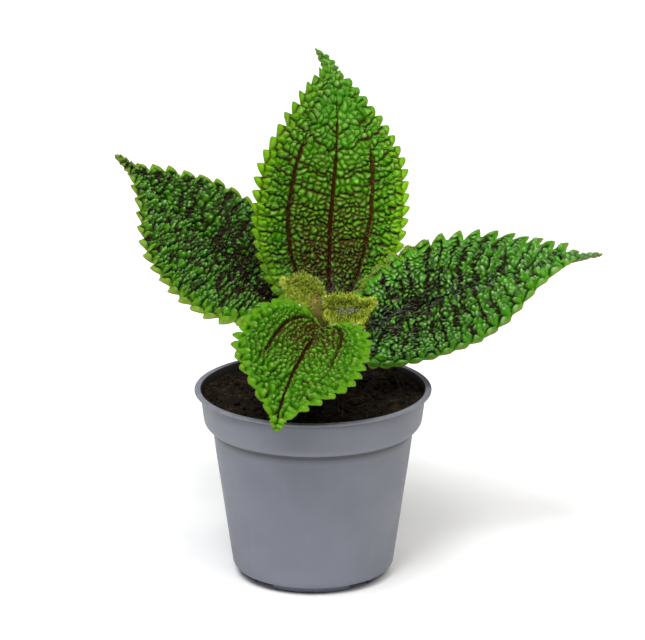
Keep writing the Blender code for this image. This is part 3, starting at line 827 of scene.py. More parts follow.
def cellWalls(spots, seeds, sizes, kin):
    # how far each spot lies from the border of its bump, its cell and its block
    walls = np.ones((3, len(spots)))
    nearest = np.empty(len(spots), dtype=int)
    for start in range(0, len(spots), 4000):
        part = slice(start, start + 4000)
        square = ((spots[part][:, None] - seeds[None]) ** 2).sum(-1)
        count = min(blade["nearCells"], len(seeds) - 1)
        order = np.argpartition(square, count, axis=1)[:, :count]
        close = np.take_along_axis(square, order, 1)
        first = order[np.arange(len(close)), close.argmin(1)]
        nearest[part] = first
        further = close - close.min(1)[:, None]
        gap = np.maximum(np.linalg.norm(seeds[order] - seeds[first][:, None], axis=-1), 1e-9)
        for level in range(3):
            apart = kin[level][order] != kin[level][first][:, None]
            across = gap if level == 0 else sizes[first][:, None]
            walls[level, part] = np.where(apart, further / (2 * across), 1.0).min(1)
    return walls, nearest


def bladeGrid(leaf, draw):
    perTooth, columns = leaf["rowsPerTooth"], leaf["columns"]
    rows = perTooth * leaf["teeth"]
    tooth = np.arange(rows + 1) / perTooth
    number = np.minimum(tooth.astype(int), leaf["teeth"] - 1)
    phase = tooth - number
    lean = leaf["toothLean"]
    lowCurve, highCurve = blade["toothCurves"]
    rising = 1 - np.clip(1 - phase / lean, 0, 1) ** lowCurve
    falling = np.clip((1 - phase) / (1 - lean), 0, 1) ** highCurve
    point = np.where(phase <= lean, rising, falling)
    u = toothToU(leaf, tooth)
    width = widthAt(leaf, u)
    depth = np.minimum(leaf["toothDepth"] * (0.40 + 0.85 * u), 0.36 * width) / np.maximum(width, 1e-6)
    steps = np.arange(-columns, columns + 1) / columns
    edges, depths = [], []
    for amount in leaf["toothSides"]:
        size = draw.uniform(*blade["toothSizes"], leaf["teeth"])[number]
        depths.append(depth * amount)
        edges.append(1 - depth * amount * (1 - point * np.minimum(size, 1.0)) * size)
    edge, depth = (np.where(steps[None] < 0, one[:, None], other[:, None]) for one, other in (edges, depths))
    v = edge * steps[None]
    forward = leaf["toothForward"] * (0.35 + 0.65 * smooth(u, 0.35, 0.65))[:, None]
    forward = forward * point[:, None] * np.abs(steps[None]) ** 9
    toothGrid = np.minimum(tooth[:, None] + forward, leaf["teeth"]) + 0 * v
    grids = {"u": toothToU(leaf, toothGrid), "v": v, "point": point[:, None] + 0 * v}
    grids["edge"] = (edge - np.abs(v)) * width[:, None]
    grids["beyond"] = np.maximum(np.abs(v) - 1 + depth, 0.0) / np.maximum(depth, 1e-6)
    grids["x"], grids["y"] = flatPlace(leaf, grids["u"], v)
    return grids


def wander(share, draw, size):
    # a slow wave for lines that aren't quite straight
    total = 0 * share
    for turns in (3.0, 7.0, 13.0, 21.0):
        total = total + np.sin(share * turns * math.tau + draw.uniform(0, math.tau)) / math.sqrt(turns)
    return size * total


def veinGaps(leaf, x, v, share, width, draw):
    # how far each spot lies from the midrib and from the side veins, and how plain these are there
    start, end = leaf["midribStart"], leaf["sideVeinEnd"]
    midFade = (1 - smooth(share, 0.88, 0.99)) * smooth(share, start - 0.2, start)
    sideFade = (1 - smooth(share, end - 0.22, end)) * smooth(width, 2 * mm, 6 * mm)
    midWidth = leaf["midribWidth"] * (1.3 - 0.95 * share) * midFade
    sideWidth = leaf["sideVeinWidth"] * (1.25 - 0.6 * share) * sideFade
    midGap = np.abs(x + wander(share, draw, 0.12 * mm)) - midWidth
    sideLine = 0.5 + wander(share, draw, leaf["sideWander"]) + np.where(v > 0, 0.015, -0.01)
    sideGap = np.abs(np.abs(v) - sideLine) * width - sideWidth
    return midGap, midFade, sideGap, sideFade


def domes(leaf, walls, toSeed, size):
    # how high a spot stands on its bump, from how far it lies from the three kinds of border
    rounded = [1 - (1 - np.clip(wall / (reach * size), 0, 1)) ** leaf["domePower"]
               for wall, reach in zip(walls, leaf["domeReach"])]
    peak = np.clip(1 - (toSeed / (0.80 * size)) ** leaf["peakPower"], 0, 1)
    peak = peak * np.clip(walls[0] / (0.15 * size), 0, 1)
    rounded[0] = rounded[0] * (1 - leaf["peaked"]) + peak * leaf["peaked"]
    return sum(part * amount for part, amount in zip(rounded, leaf["domeShares"]))


def quilt(leaf, grids, draw):
    # the raised bumps, the sunken veins and the masks that the finish reads
    x, y, u, v = (grids[name] for name in ("x", "y", "u", "v"))
    seeds, sizes, kin = cellSeeds(leaf, draw)
    warp = leaf["warp"] * (1 - smooth(np.abs(v), 0.75, 0.95)) * smooth(np.abs(x), 0.0, 3.0 * mm)
    spots = np.stack([x + warp * waves(x, y, draw, 8, 9 * mm), y + warp * waves(x, y, draw, 8, 11 * mm)], -1)
    spots = spots.reshape(-1, 2)
    walls, nearest = cellWalls(spots, seeds, sizes, kin)
    toSeed = np.hypot(*(spots - seeds[nearest]).T).reshape(x.shape)
    walls, nearest = walls.reshape(3, *x.shape), nearest.reshape(x.shape)
    size = sizes[nearest]
    share = y / leaf["length"]
    width = widthAt(leaf, u)
    midGap, midFade, sideGap, sideFade = veinGaps(leaf, x, v, share, width, draw)
    nearVein = np.minimum(midGap + (1 - midFade) * mm, sideGap + (1 - sideFade) * 3 * mm)
    walls = np.maximum(np.minimum(walls, nearVein[None]), 0.0)
    dome = domes(leaf, walls, toSeed, size)
    taller = draw.uniform(0.60, 1.25, len(seeds))[nearest]
    # painted highlight: a pale spot at each bump's summit stands for a glint
    summitHighlight = np.clip(1 - (toSeed / (leaf["summitReach"] * size)) ** 2, 0, 1)
    summitHighlight = summitHighlight * draw.uniform(0.0, 1.0, len(seeds))[nearest]
    rim = smooth(grids["edge"], 0.0, leaf["flatMargin"])
    height = leaf["bumpHeight"] * (0.30 + 0.70 * rim) * (0.80 + 0.20 * smooth(share, 0.0, 0.3))
    lift = height * (0.4 + 0.6 * taller) * dome
    upturn = np.where(v > 0, leaf["upturn"], 0.0)
    lift = lift + upturn * (0.75 * grids["beyond"] + 0.25 * (1 - rim)) * smooth(width, 4 * mm, 10 * mm)
    blockFade = smooth(width * np.abs(v), 0.0, 1.0 * mm) * (1 - smooth(np.abs(v), 0.86, 0.98))
    blockVein = blockFade * (1 - smooth(walls[2], 0.05 * mm, leaf["crossVeinWidth"]))
    mainVein = np.maximum(midFade * (1 - smooth(midGap, 0.0, 0.30 * mm)),
                          sideFade * (1 - smooth(sideGap, 0.0, 0.26 * mm)))
    lift = lift - leaf["veinDepth"] * np.maximum(mainVein, 0.5 * blockVein)
    valley = np.maximum(leaf["lobeShade"] * (1 - smooth(walls[0], 0.0, 0.8 * leaf["valleyWidth"])),
                        0.75 * (1 - smooth(walls[1], 0.0, leaf["valleyWidth"])))
    calm = leaf["calmTip"] * smooth(share, 0.55, 0.85)
    valley = np.maximum(valley * (1 - calm), blockVein * (1 - 0.3 * calm)) * (0.15 + 0.85 * rim)
    stain = 1 - smooth(share, leaf["stainStart"], leaf["stainEnd"])
    stain = stain * (1 - smooth(np.abs(v), leaf["stainIn"], leaf["stainOut"]))
    veinTone = 0.50 + 0.50 * (1 - smooth(share, 0.45, 0.85))
    maroon = np.clip(mainVein * (0.55 + 0.45 * veinTone), 0, 1)
    flank = 1 - smooth(walls[1], 0.10 * mm, 0.85 * mm)
    maroon = np.maximum(maroon, np.maximum(blockVein * leaf["crossTone"] * veinTone, flank * stain))
    masks = {
        "dome": np.maximum(dome, 0.6 * calm) * (0.3 + 0.7 * rim) + 0.55 * (1 - rim),
        "valley": valley,
        "maroon": maroon,
        "margin": 1 - smooth(grids["edge"], 0.6 * mm, leaf["marginBand"]),
        "tips": grids["point"] * (1 - smooth(grids["edge"], 0.1 * mm, 1.3 * mm)),
        "share": share,
        "shade": taller,
        "summitHighlight": summitHighlight * (0.4 + 0.6 * rim) * smooth(nearVein, 0.0, 0.6 * mm),
    }
    return lift, masks


def bladeMesh(leaf, draw):
    # a fine upper face, a lower face with half its lines, and a rim that joins the two
    frames = midribFrames(leaf)
    grids = bladeGrid(leaf, draw)
    lift, masks = quilt(leaf, grids, draw)
    upper = bend(leaf, frames, grids["x"], grids["y"], lift)
    thickness = blade["thickness"] * (0.45 + 0.55 * smooth(grids["edge"], 0.0, 1.5 * mm))
    lower = bend(leaf, frames, grids["x"], grids["y"], 0.8 * lift - thickness)[::2, ::2]
    rows, columns = lift.shape
    top = np.arange(rows * columns).reshape(rows, columns)
    low = rows * columns + np.arange(lower.shape[0] * lower.shape[1]).reshape(lower.shape[:2])
    for ids in (top, low):
        ids[0] = ids[0, 0]
        ids[-1] = ids[-1, 0]
    faces = []
    for ids in (top, low[:, ::-1]):
        quads = np.stack([ids[1:-2, :-1], ids[2:-1, :-1], ids[2:-1, 1:], ids[1:-2, 1:]], -1).reshape(-1, 4)
        first = np.stack([ids[0, :-1], ids[1, :-1], ids[1, 1:]], -1)
        last = np.stack([ids[-2, :-1], ids[-1, :-1], ids[-2, 1:]], -1)
        faces += quads.tolist() + first.tolist() + last.tolist()
    right = np.stack([top[:-2:2, -1], top[1:-1:2, -1], top[2::2, -1], low[1:, -1], low[:-1, -1]], -1)
    left = np.stack([top[2::2, 0], top[1:-1:2, 0], top[:-2:2, 0], low[:-1, 0], low[1:, 0]], -1)
    faces += right.tolist() + left.tolist()
    points = np.vstack([upper.reshape(-1, 3), lower.reshape(-1, 3)])
    used, packed = np.unique(np.concatenate(faces), return_inverse=True)
    sizes = np.cumsum([0] + [len(face) for face in faces])
    faces = [packed[start:end].tolist() for start, end in zip(sizes[:-1], sizes[1:])]
    values = {}
    for name, mask in masks.items():
        values[name] = np.concatenate([mask.reshape(-1), mask[::2, ::2].reshape(-1)])[used]
    values["under"] = (used >= rows * columns).astype(float)
    surface = {"frames": frames, "grids": grids, "lift": lift, "masks": masks}
    return points[used], faces, values, surface


def tube(line, radii, sides):
    along = unit(np.gradient(line, axis=0))
    across = np.cross(along[0], (0.3, 0.2, 0.9))
    points = []
    for k, centre in enumerate(line):
        across = across - along[k] * (across @ along[k])
        across /= np.linalg.norm(across)
        side = np.cross(along[k], across)
        angles = np.arange(sides) * math.tau / sides
        ring = np.cos(angles)[:, None] * across + np.sin(angles)[:, None] * side
        points.append(centre + ring * np.reshape(radii[k], (-1, 1)))
    count = len(line)
    ids = np.arange(count * sides).reshape(count, sides)
    after = np.roll(ids, -1, 1)
    faces = np.stack([ids[:-1], after[:-1], after[1:], ids[1:]], -1).reshape(-1, 4).tolist()
    faces += [ids[0, ::-1].tolist(), ids[-1].tolist()]
    return np.vstack(points), faces


def stalkMesh(leaf, frames):
    # from the stem to the blade's base, and on under the blade as its keel
    radius = leaf["stalkRadius"]
    depth = leaf["veinDepth"] + blade["thickness"] + 0.8 * radius
    zero = np.array(0.0)
    start = bend(leaf, frames, zero, zero, -depth)
    ahead = bend(leaf, frames, zero, np.array(0.03 * leaf["length"]), -depth)
    along = (ahead - start) / np.linalg.norm(ahead - start)
    if "root" in leaf:
        root, pull = np.array(leaf["root"]), np.array([0.0, 0.0, 1.0])
    else:
        aim = np.array(leaf["base"]) - leaf["joint"]
        rise = math.radians(leaf["stalkRise"])
        heading = math.atan2(aim[1], aim[0])
        pull = headingVector(np.array(heading), np.array(rise))
        outward = np.array([math.cos(heading), math.sin(heading), 0.0])
        root = leaf["joint"] + 0.5 * leaf["jointRadius"] * outward
    reach = np.linalg.norm(start - root) / 3
    t = np.linspace(0, 1, blade["stalkPoints"])[:, None]
    line = ((1 - t)**3 * root + 3 * (1 - t)**2 * t * (root + pull * reach)
            + 3 * (1 - t) * t**2 * (start - along * reach) + t**3 * start)
    share = np.linspace(0, 1, blade["keelPoints"] + 1)[1:]
    reached = blade["keelLength"] * leaf["length"] * share
    keel = bend(leaf, frames, 0 * share, reached, -depth + 0.5 * radius * share)
    radii = np.concatenate([np.full(len(line), radius), radius * (1 - blade["keelTaper"] * share)])
    radii[:len(blade["stalkFlare"])] = radius * np.array(blade["stalkFlare"])
    points, faces = tube(np.vstack([line, keel]), radii, blade["stalkSides"])
    return points, faces, line


def leafMaterial(leaf, name):
    material, tree, shader = newMaterial(name + "Skin")
    finish = leaf["finish"]
    dome, valley, maroon, margin, shade, share, summitHighlight, tips, under = (
        read(tree, mask) for mask in (
            "dome", "valley", "maroon", "margin", "shade", "share", "summitHighlight", "tips", "under"))
    wide = remap(tree, noise(tree, 38.0, 2.0), 0.35, 0.65)
    fine = noise(tree, 900.0, 4.0)
    base = mixColour(tree, wide, finish["green"], finish["otherGreen"])
    base = mixColour(tree, remap(tree, shade, 0.70, 1.20, 0.0, 0.45), base, finish["light"])
    # painted highlight: the crest of each bump is painted lighter
    base = mixColour(tree, remap(tree, dome, 0.70, 1.0, 0.0, finish["crestHighlight"]), base, finish["light"])
    base = tint(tree, base, finish["margin"], margin, finish["marginShare"])
    if finish["coolShare"]:
        base = mixColour(tree, remap(tree, share, 0.45, 0.85, 0.0, finish["coolShare"]), base, finish["cool"])
    # painted highlight at each bump's summit, standing for glints
    base = tint(tree, base, finish["summitHighlight"], summitHighlight, finish["summitHighlightShare"])
    base = mixColour(tree, remap(tree, fine, 0.40, 0.75, 0.0, 0.30), base, finish["dark"])
    # painted shade: low on each bump, towards its border, the colour goes dark
    base = mixColour(tree, remap(tree, dome, 0.05, finish["paintedShadeBelow"], 1.0, 0.0), base, finish["dark"])
    base = tint(tree, base, finish["deep"], valley, finish["valleyShare"])
    base = mixColour(tree, maroon, base, finish["vein"])
    base = tint(tree, base, finish["tip"], tips, finish["tipShare"])
    base = mixColour(tree, under, base, tint(tree, finish["under"], finish["underVein"], maroon, 0.7))
    knobs = noise(tree, 620.0, 2.0)
    relief = calculate(tree, "ADD", knobs, calculate(tree, "MULTIPLY", fine, 0.4))
    connect(tree, shader, {
        "Base Color": base,
        "Roughness": remap(tree, fine, 0.3, 0.7, finish["gloss"], finish["gloss"] + 0.10),
        "Specular IOR Level": finish["shine"],
        "Specular Tint": colour(finish["glint"]),
        "Subsurface Weight": 0.08,
        "Subsurface Radius": (0.3, 0.6, 0.1),
        "Subsurface Scale": 0.0009,
        "Normal": bumpFrom(tree, relief, 0.55, 0.0009),
    })
    return material


def stalkMaterial(name, rgb, other):
    material, tree, shader = newMaterial(name)
    streaks = noise(tree, 300.0, 4.0, (1.0, 1.0, 0.3))
    connect(tree, shader, {
        "Base Color": mixColour(tree, remap(tree, streaks, 0.35, 0.65), rgb, other),
        "Roughness": 0.60,
        "Specular IOR Level": 0.12,
        "Subsurface Weight": 0.1,
        "Subsurface Scale": 0.001,
        "Normal": bumpFrom(tree, streaks, 0.3, 0.0004),
    })
    return material


def hairMaterial(name, rgb, other):
    material, tree, shader = newMaterial(name)
    base = mixColour(tree, remap(tree, noise(tree, 1100.0, 2.0), 0.38, 0.66), rgb, other)
    connect(tree, shader, {"Base Color": base, "Roughness": 0.35, "Specular IOR Level": 0.25})
    return material


def growHairs(roots, heading, hairs, draw):
    heading = unit(heading + draw.normal(size=heading.shape) * hairs["spread"])
    lengths = mm * draw.uniform(*hairs["length"], len(roots))
    return strands(roots, heading, lengths, hairs["radius"] * mm, hairs["bend"], draw, hairs["steps"])


def surfaceHairs(leaf, surface, hairs, draw):
    # picks grid points by weight and stands a hair on each
    grids, lift, frames = surface["grids"], surface["lift"], surface["frames"]
    weight = hairs["where"](grids, surface["masks"]) * np.maximum(widthAt(leaf, grids["u"]), 0.0)
    weight[0] = weight[-1] = 0.0
    chance = weight.reshape(-1) / weight.sum()
    picked = draw.choice(chance.size, hairs["count"], p=chance)
    x, y = grids["x"].reshape(-1)[picked], grids["y"].reshape(-1)[picked]
    x = x + draw.uniform(-0.2, 0.2, len(x)) * mm
    rise = lift.reshape(-1)[picked]
    roots = bend(leaf, frames, x, y, rise - 0.1 * mm)
    normal = unit(bend(leaf, frames, x, y, rise + 1 * mm) - roots)
    along = unit(bend(leaf, frames, x, y + 1 * mm, rise) - roots)
    outward = unit(bend(leaf, frames, x + np.copysign(1 * mm, x), y, rise) - roots)
    lean = hairs["lean"]
    return growHairs(roots, normal * lean[0] + along * lean[1] + outward * lean[2], hairs, draw)


def lineHairs(line, radius, hairs, draw):
    # hairs all round a stalk
    count = hairs["count"]
    along = unit(np.gradient(line, axis=0))
    at = draw.integers(0, len(line) - 1, count)
    share = draw.uniform(0, 1, count)[:, None]
    centre = line[at] * (1 - share) + line[at + 1] * share
    outward = draw.normal(size=(count, 3))
    outward = unit(outward - along[at] * (outward * along[at]).sum(1)[:, None])
    return growHairs(centre + outward * (radius - 0.1 * mm), outward, hairs, draw)


# Finishes: the colours of a blade, and how much of each there is

brightFinish = {
    "green": (0.052, 0.246, 0.002), "otherGreen": (0.034, 0.206, 0.003), "light": (0.112, 0.362, 0.003),
    "margin": (0.265, 0.560, 0.008), "dark": (0.018, 0.080, 0.001), "deep": (0.012, 0.020, 0.001),
    "vein": (0.052, 0.011, 0.004), "under": (0.120, 0.200, 0.030), "tip": (0.150, 0.150, 0.020),
    "underVein": (0.110, 0.050, 0.024), "cool": (0.038, 0.205, 0.014), "coolShare": 0.70,
    "summitHighlight": (0.330, 0.540, 0.110), "summitHighlightShare": 0.7, "glint": (0.7, 1.0, 0.3), "marginShare": 0.65,
    "crestHighlight": 0.45, "paintedShadeBelow": 0.32, "valleyShare": 0.85, "tipShare": 0.35, "gloss": 0.30, "shine": 0.12,
}
frontFinish = dict(
    brightFinish, green=(0.036, 0.160, 0.002), otherGreen=(0.022, 0.130, 0.002), light=(0.084, 0.270, 0.004),
    coolShare=0.0, margin=(0.110, 0.300, 0.006), summitHighlight=(0.310, 0.520, 0.090), vein=(0.042, 0.010, 0.004),
    paintedShadeBelow=0.50, dark=(0.013, 0.062, 0.001),
)
darkFinish = {
    "green": (0.044, 0.190, 0.004), "otherGreen": (0.026, 0.145, 0.006), "light": (0.110, 0.330, 0.010),
    "margin": (0.165, 0.320, 0.012), "dark": (0.006, 0.030, 0.002), "deep": (0.007, 0.004, 0.002),
    "vein": (0.012, 0.004, 0.003), "under": (0.100, 0.160, 0.030), "tip": (0.260, 0.190, 0.060),
    "underVein": (0.095, 0.040, 0.022), "coolShare": 0.0, "summitHighlight": (0.370, 0.590, 0.240),
    "summitHighlightShare": 0.9, "glint": (0.75, 1.0, 0.55), "marginShare": 0.75, "crestHighlight": 0.6, "paintedShadeBelow": 0.42,
    "valleyShare": 0.95, "tipShare": 0.6, "gloss": 0.30, "shine": 0.13,
}
# painted light: a lighter copy of darkFinish for the right leaf, standing for its glints and for the weaker
# lamp on the right
paintedLightRightFinish = dict(
    darkFinish, green=(0.060, 0.262, 0.009), otherGreen=(0.042, 0.212, 0.011), light=(0.130, 0.420, 0.024),
    margin=(0.075, 0.265, 0.008), marginShare=0.7, paintedShadeBelow=0.28, crestHighlight=0.8,
)
youngFinish = {
    "green": (0.120, 0.200, 0.006), "otherGreen": (0.090, 0.160, 0.006), "light": (0.260, 0.360, 0.012),
    "margin": (0.240, 0.340, 0.010), "dark": (0.045, 0.065, 0.003), "deep": (0.050, 0.040, 0.006),
    "vein": (0.180, 0.110, 0.050), "under": (0.180, 0.210, 0.020), "tip": (0.320, 0.340, 0.020),
    "underVein": (0.160, 0.110, 0.040), "coolShare": 0.0, "summitHighlight": (0.480, 0.560, 0.080),
    "summitHighlightShare": 0.8, "glint": (0.8, 1.0, 0.5), "marginShare": 0.85, "crestHighlight": 0.5, "paintedShadeBelow": 0.5,
    "valleyShare": 0.7, "tipShare": 0.3, "gloss": 0.55, "shine": 0.1,
}

# Quilting: the size and height of the bumps, and where the veins run. outerFrom and wideBlocksFrom are
# shares of the way out and of the length, so a leaf that has 2.0 there never gets that far

stalkHairs = dict(count=900, spread=0.3, length=(1.2, 3.4), radius=0.06, bend=0.2, steps=2, skin="stalkHair")
plainQuilt = {
    "columns": 80, "rowsPerTooth": 10, "cellMost": 2, "jitter": 0.20, "cellJitter": 0.07, "apart": 0.70,
    "warp": 0.6 * mm, "crossRise": 2.3, "toothDepth": 3.9 * mm, "toothForward": 0.14, "toothLean": 0.76,
    "toothSides": (1.0, 1.0), "upturn": 0.0, "curlEnd": blade["farOut"], "topWide": 0.0, "tipWide": 0.0,
    "tipLopsided": 0.0, "blockTeeth": (1.0, 1.0, 1.5), "outerFrom": 0.5, "wideBlocksFrom": 0.52,
    "lobes": (1, 3), "lobeReach": 0.36, "lobeShade": 0.40, "summitReach": 0.36, "midribStart": -0.5,
    "sideVeinWidth": 0.34 * mm, "crossVeinWidth": 0.55 * mm, "sideVeinEnd": 0.74, "sideWander": 0.012,
    "domeReach": (0.52, 0.80, 1.10), "domeShares": (0.50, 0.32, 0.18), "domePower": 2.0, "peaked": 0.6,
    "peakPower": 2.0, "veinDepth": 0.35 * mm, "flatMargin": 4.2 * mm, "valleyWidth": 0.38 * mm,
    "marginBand": 5.0 * mm, "crossTone": 0.8, "stainStart": 0.12, "stainEnd": 0.68, "stainIn": 0.35,
    "stainOut": 0.75, "calmTip": 0.0, "stalkHairs": stalkHairs,
}
tallQuilt = dict(
    plainQuilt, rowsPerTooth=15, bump=2.45 * mm, rowPitch=2.60 * mm, growth=(0.85, 1.20), jitter=0.22,
    apart=0.60, cellJitter=0.16, bumpHeight=3.3 * mm, domePower=1.5, domeReach=(0.58, 1.10, 1.50),
    domeShares=(0.42, 0.38, 0.20), lobes=(2, 5), lobeReach=0.40, lobeShade=0.26, outerFrom=2.0,
    sideVeinEnd=0.05, peaked=0.8, peakPower=1.2, veinDepth=0.2 * mm, midribWidth=0.28 * mm,
    sideVeinWidth=0.10 * mm, valleyWidth=0.52 * mm, crossVeinWidth=1.00 * mm, sideWander=0.03,
    crossRise=0.9, wideBlocksFrom=2.0, stainStart=0.30, stainEnd=0.78, stainIn=0.55, stainOut=0.92,
    marginBand=4.5 * mm, flatMargin=3.0 * mm, toothDepth=3.6 * mm,
)
tinyQuilt = dict(
    plainQuilt, columns=28, rowsPerTooth=12, bump=1.2 * mm, rowPitch=1.2 * mm, growth=(0.8, 1.0),
    warp=0.2 * mm, toothDepth=0.9 * mm, toothForward=0.2, bumpHeight=0.9 * mm, midribWidth=0.12 * mm,
    sideVeinWidth=0.06 * mm, crossVeinWidth=0.15 * mm, veinDepth=0.15 * mm, valleyWidth=0.2 * mm,
    marginBand=1.2 * mm, flatMargin=0.8 * mm, crossRise=0.6, wideBlocksFrom=2.0, stainStart=0.0,
    stainEnd=0.03, lobes=(1, 2), stalkHairs=dict(stalkHairs, count=420, length=(1.0, 2.4), skin="youngHair"),
)

# Leaves: lengths in metres, angles in degrees, each from the blade's base to its tip

leaves = {
    "leafBack": dict(
        plainQuilt, node="leaf_back", length=0.1009, halfWidth=0.0308, base=(0.0069, 0.0207, 0.1037),
        heading=(52, 124), pitch=(95, 30), roll=(19, 39), fold=0.26, camber=0.24, lopsided=0.02, skew=-0.04,
        teeth=30, joint=upperJoint, jointRadius=0.0038, stalkRadius=0.0015, stalkRise=50, slot="leaf_bright",
        finish=brightFinish, seed=11, topWide=0.08, tipWide=0.65, tipLopsided=-0.25, toothLean=0.86,
        cellJitter=0.10, bump=2.05 * mm, rowPitch=2.00 * mm, growth=(0.80, 1.45), cellMost=1, jitter=0.12,
        blockTeeth=(1.0, 1.5, 2.0), lobeReach=0.27, lobeShade=0.12, domeReach=(0.55, 0.85, 1.30),
        domeShares=(0.24, 0.50, 0.26), peaked=0.75, marginBand=9.0 * mm, summitReach=0.46,
        bumpHeight=2.4 * mm, calmTip=0.65, midribWidth=0.62 * mm,
    ),
    "leafFront": dict(
        plainQuilt, node="leaf_front", length=0.0740, halfWidth=0.0260, base=(0.0034, -0.0144, 0.1011),
        heading=(249, 267), pitch=(-14, -13), roll=(-11, -13), fold=0.49, camber=0.18, lopsided=0.005,
        skew=0.13, teeth=19, joint=upperJoint, jointRadius=0.0038, stalkRadius=0.0014, stalkRise=50,
        slot="leaf_bright", finish=frontFinish, seed=12, bump=2.15 * mm, rowPitch=2.7 * mm,
        growth=(0.78, 1.35), bumpHeight=2.3 * mm, crossTone=0.5, valleyWidth=0.50 * mm, rowsPerTooth=15,
        midribStart=0.22, midribWidth=0.95 * mm, sideVeinWidth=0.24 * mm, sideVeinEnd=0.62, cellMost=1,
        crossRise=0.9, summitReach=0.38, stainEnd=0.55, toothLean=0.66, lobeReach=0.28, lobeShade=0.25,
    ),
    "leafLeft": dict(
        tallQuilt, node="leaf_left", length=0.0860, halfWidth=0.0302, base=(-0.0166, 0.0311, 0.0968),
        heading=(141, 173), pitch=(31, 45), roll=(-21, -16), fold=0.45, camber=0.24, lopsided=0.13,
        skew=-0.01, teeth=21, joint=lowerJoint, jointRadius=0.0041, stalkRadius=0.0015, stalkRise=25,
        slot="leaf_dark", finish=darkFinish, seed=13, toothForward=0.25, toothLean=0.74,
    ),
    "leafRight": dict(
        tallQuilt, node="leaf_right", length=0.0925, halfWidth=0.0247, base=(0.0204, -0.0056, 0.0996),
        heading=(8, -6), pitch=(20, 12), roll=(81, -7), fold=0.37, camber=0.49, lopsided=0.075, skew=0.24,
        teeth=22, joint=lowerJoint, jointRadius=0.0041, stalkRadius=0.0015, stalkRise=45, slot="leaf_dark",
        finish=paintedLightRightFinish, seed=14, upturn=1.2 * mm, curlEnd=0.80, toothSides=(0.45, 1.25),
        toothDepth=4.4 * mm, toothForward=0.15, toothLean=0.66, valleyWidth=0.38 * mm,
        crossVeinWidth=0.80 * mm, stainStart=0.10, stainEnd=0.70, stainIn=0.25, stainOut=0.70,
        summitReach=0.50,
    ),
    "youngLeafLeft": dict(
        tinyQuilt, node="young_leaf_left", length=0.0172, halfWidth=0.0062, base=(0.0022, 0.0003, 0.1062),
        heading=(158, 151), pitch=(34, 7), roll=(-48, -48), fold=0.66, camber=0.04, lopsided=0.0, skew=0.0,
        teeth=8, root=stemTip + np.array([-0.0011, 0.0007, 0.0]), stalkRadius=0.0009, slot="leaf_young",
        finish=youngFinish, seed=21,
    ),
    "youngLeafRight": dict(
        tinyQuilt, node="young_leaf_right", length=0.0230, halfWidth=0.0060, base=(0.0054, -0.0054, 0.1068),
        heading=(-29, -31), pitch=(-3, 43), roll=(90, 86), fold=0.36, camber=0.12, lopsided=0.0, skew=0.0,
        teeth=9, root=stemTip + np.array([0.0011, -0.0007, 0.0]), stalkRadius=0.0009, slot="leaf_young",
        finish=youngFinish, seed=22,
    ),
}


# Hairs: each of the next functions says how thickly they stand, spot by spot

def hairsEverywhere(grids, masks):
    return 0.3 + masks["dome"]


def hairsAtBase(grids, masks):
    return 0.02 + (1 - smooth(masks["share"], 0.0, 0.35))


def hairsAlongMidrib(grids, masks):
    return 0.15 * (1 - smooth(masks["share"], 0.0, 0.4)) + np.exp(-(grids["x"] / (3.0 * mm)) ** 2)


def hairsInFold(grids, masks):
    inside = smooth(masks["share"], 0.15, 0.3) * (1 - smooth(masks["share"], 0.5, 0.7))
    return np.exp(-(grids["x"] / (1.2 * mm)) ** 2) * inside


def hairsOnUpperRim(grids, masks):
    nearBase = 1 - smooth(masks["share"], 0.25, 0.45)
    return np.exp(-grids["edge"] / (0.9 * mm)) * (grids["v"] > 0) * nearBase


def hairsByStalk(grids, masks):
    return np.exp(-(grids["x"] / (2.0 * mm)) ** 2) * (1 - smooth(masks["share"], 0.1, 0.25))


def hairsOnRim(grids, masks):
    return 0.25 + 3.0 * np.exp(-grids["edge"] / (0.8 * mm))


hairColours = {                         # each hair lies between the two
    "paleHair": ((0.50, 0.62, 0.42), (0.62, 0.70, 0.55)),
    # painted light: a lighter copy of youngHair, for the young right leaf that lies in shade
    "paintedLightYoungHair": ((0.25, 0.36, 0.008), (0.90, 1.00, 0.14)),
    "stalkHair": ((0.030, 0.034, 0.006), (0.090, 0.100, 0.020)),
    # real hairs coloured whitish grey, a painted highlight in the young right leaf's fold
    "greyHighlightHair": ((0.45, 0.42, 0.34), (0.72, 0.68, 0.62)),
    # real hairs coloured peach, a painted highlight at the young left leaf's base
    "peachHighlightHair": ((0.42, 0.25, 0.11), (0.72, 0.46, 0.26)),
    "silverHair": ((0.30, 0.38, 0.28), (0.50, 0.54, 0.52)),
    "stemHair": ((0.060, 0.065, 0.006), (0.200, 0.200, 0.022)),
    "youngHair": ((0.17, 0.23, 0.006), (0.74, 0.82, 0.13)),
}
hairSkins = {name: hairMaterial(name, *pair) for name, pair in hairColours.items()}

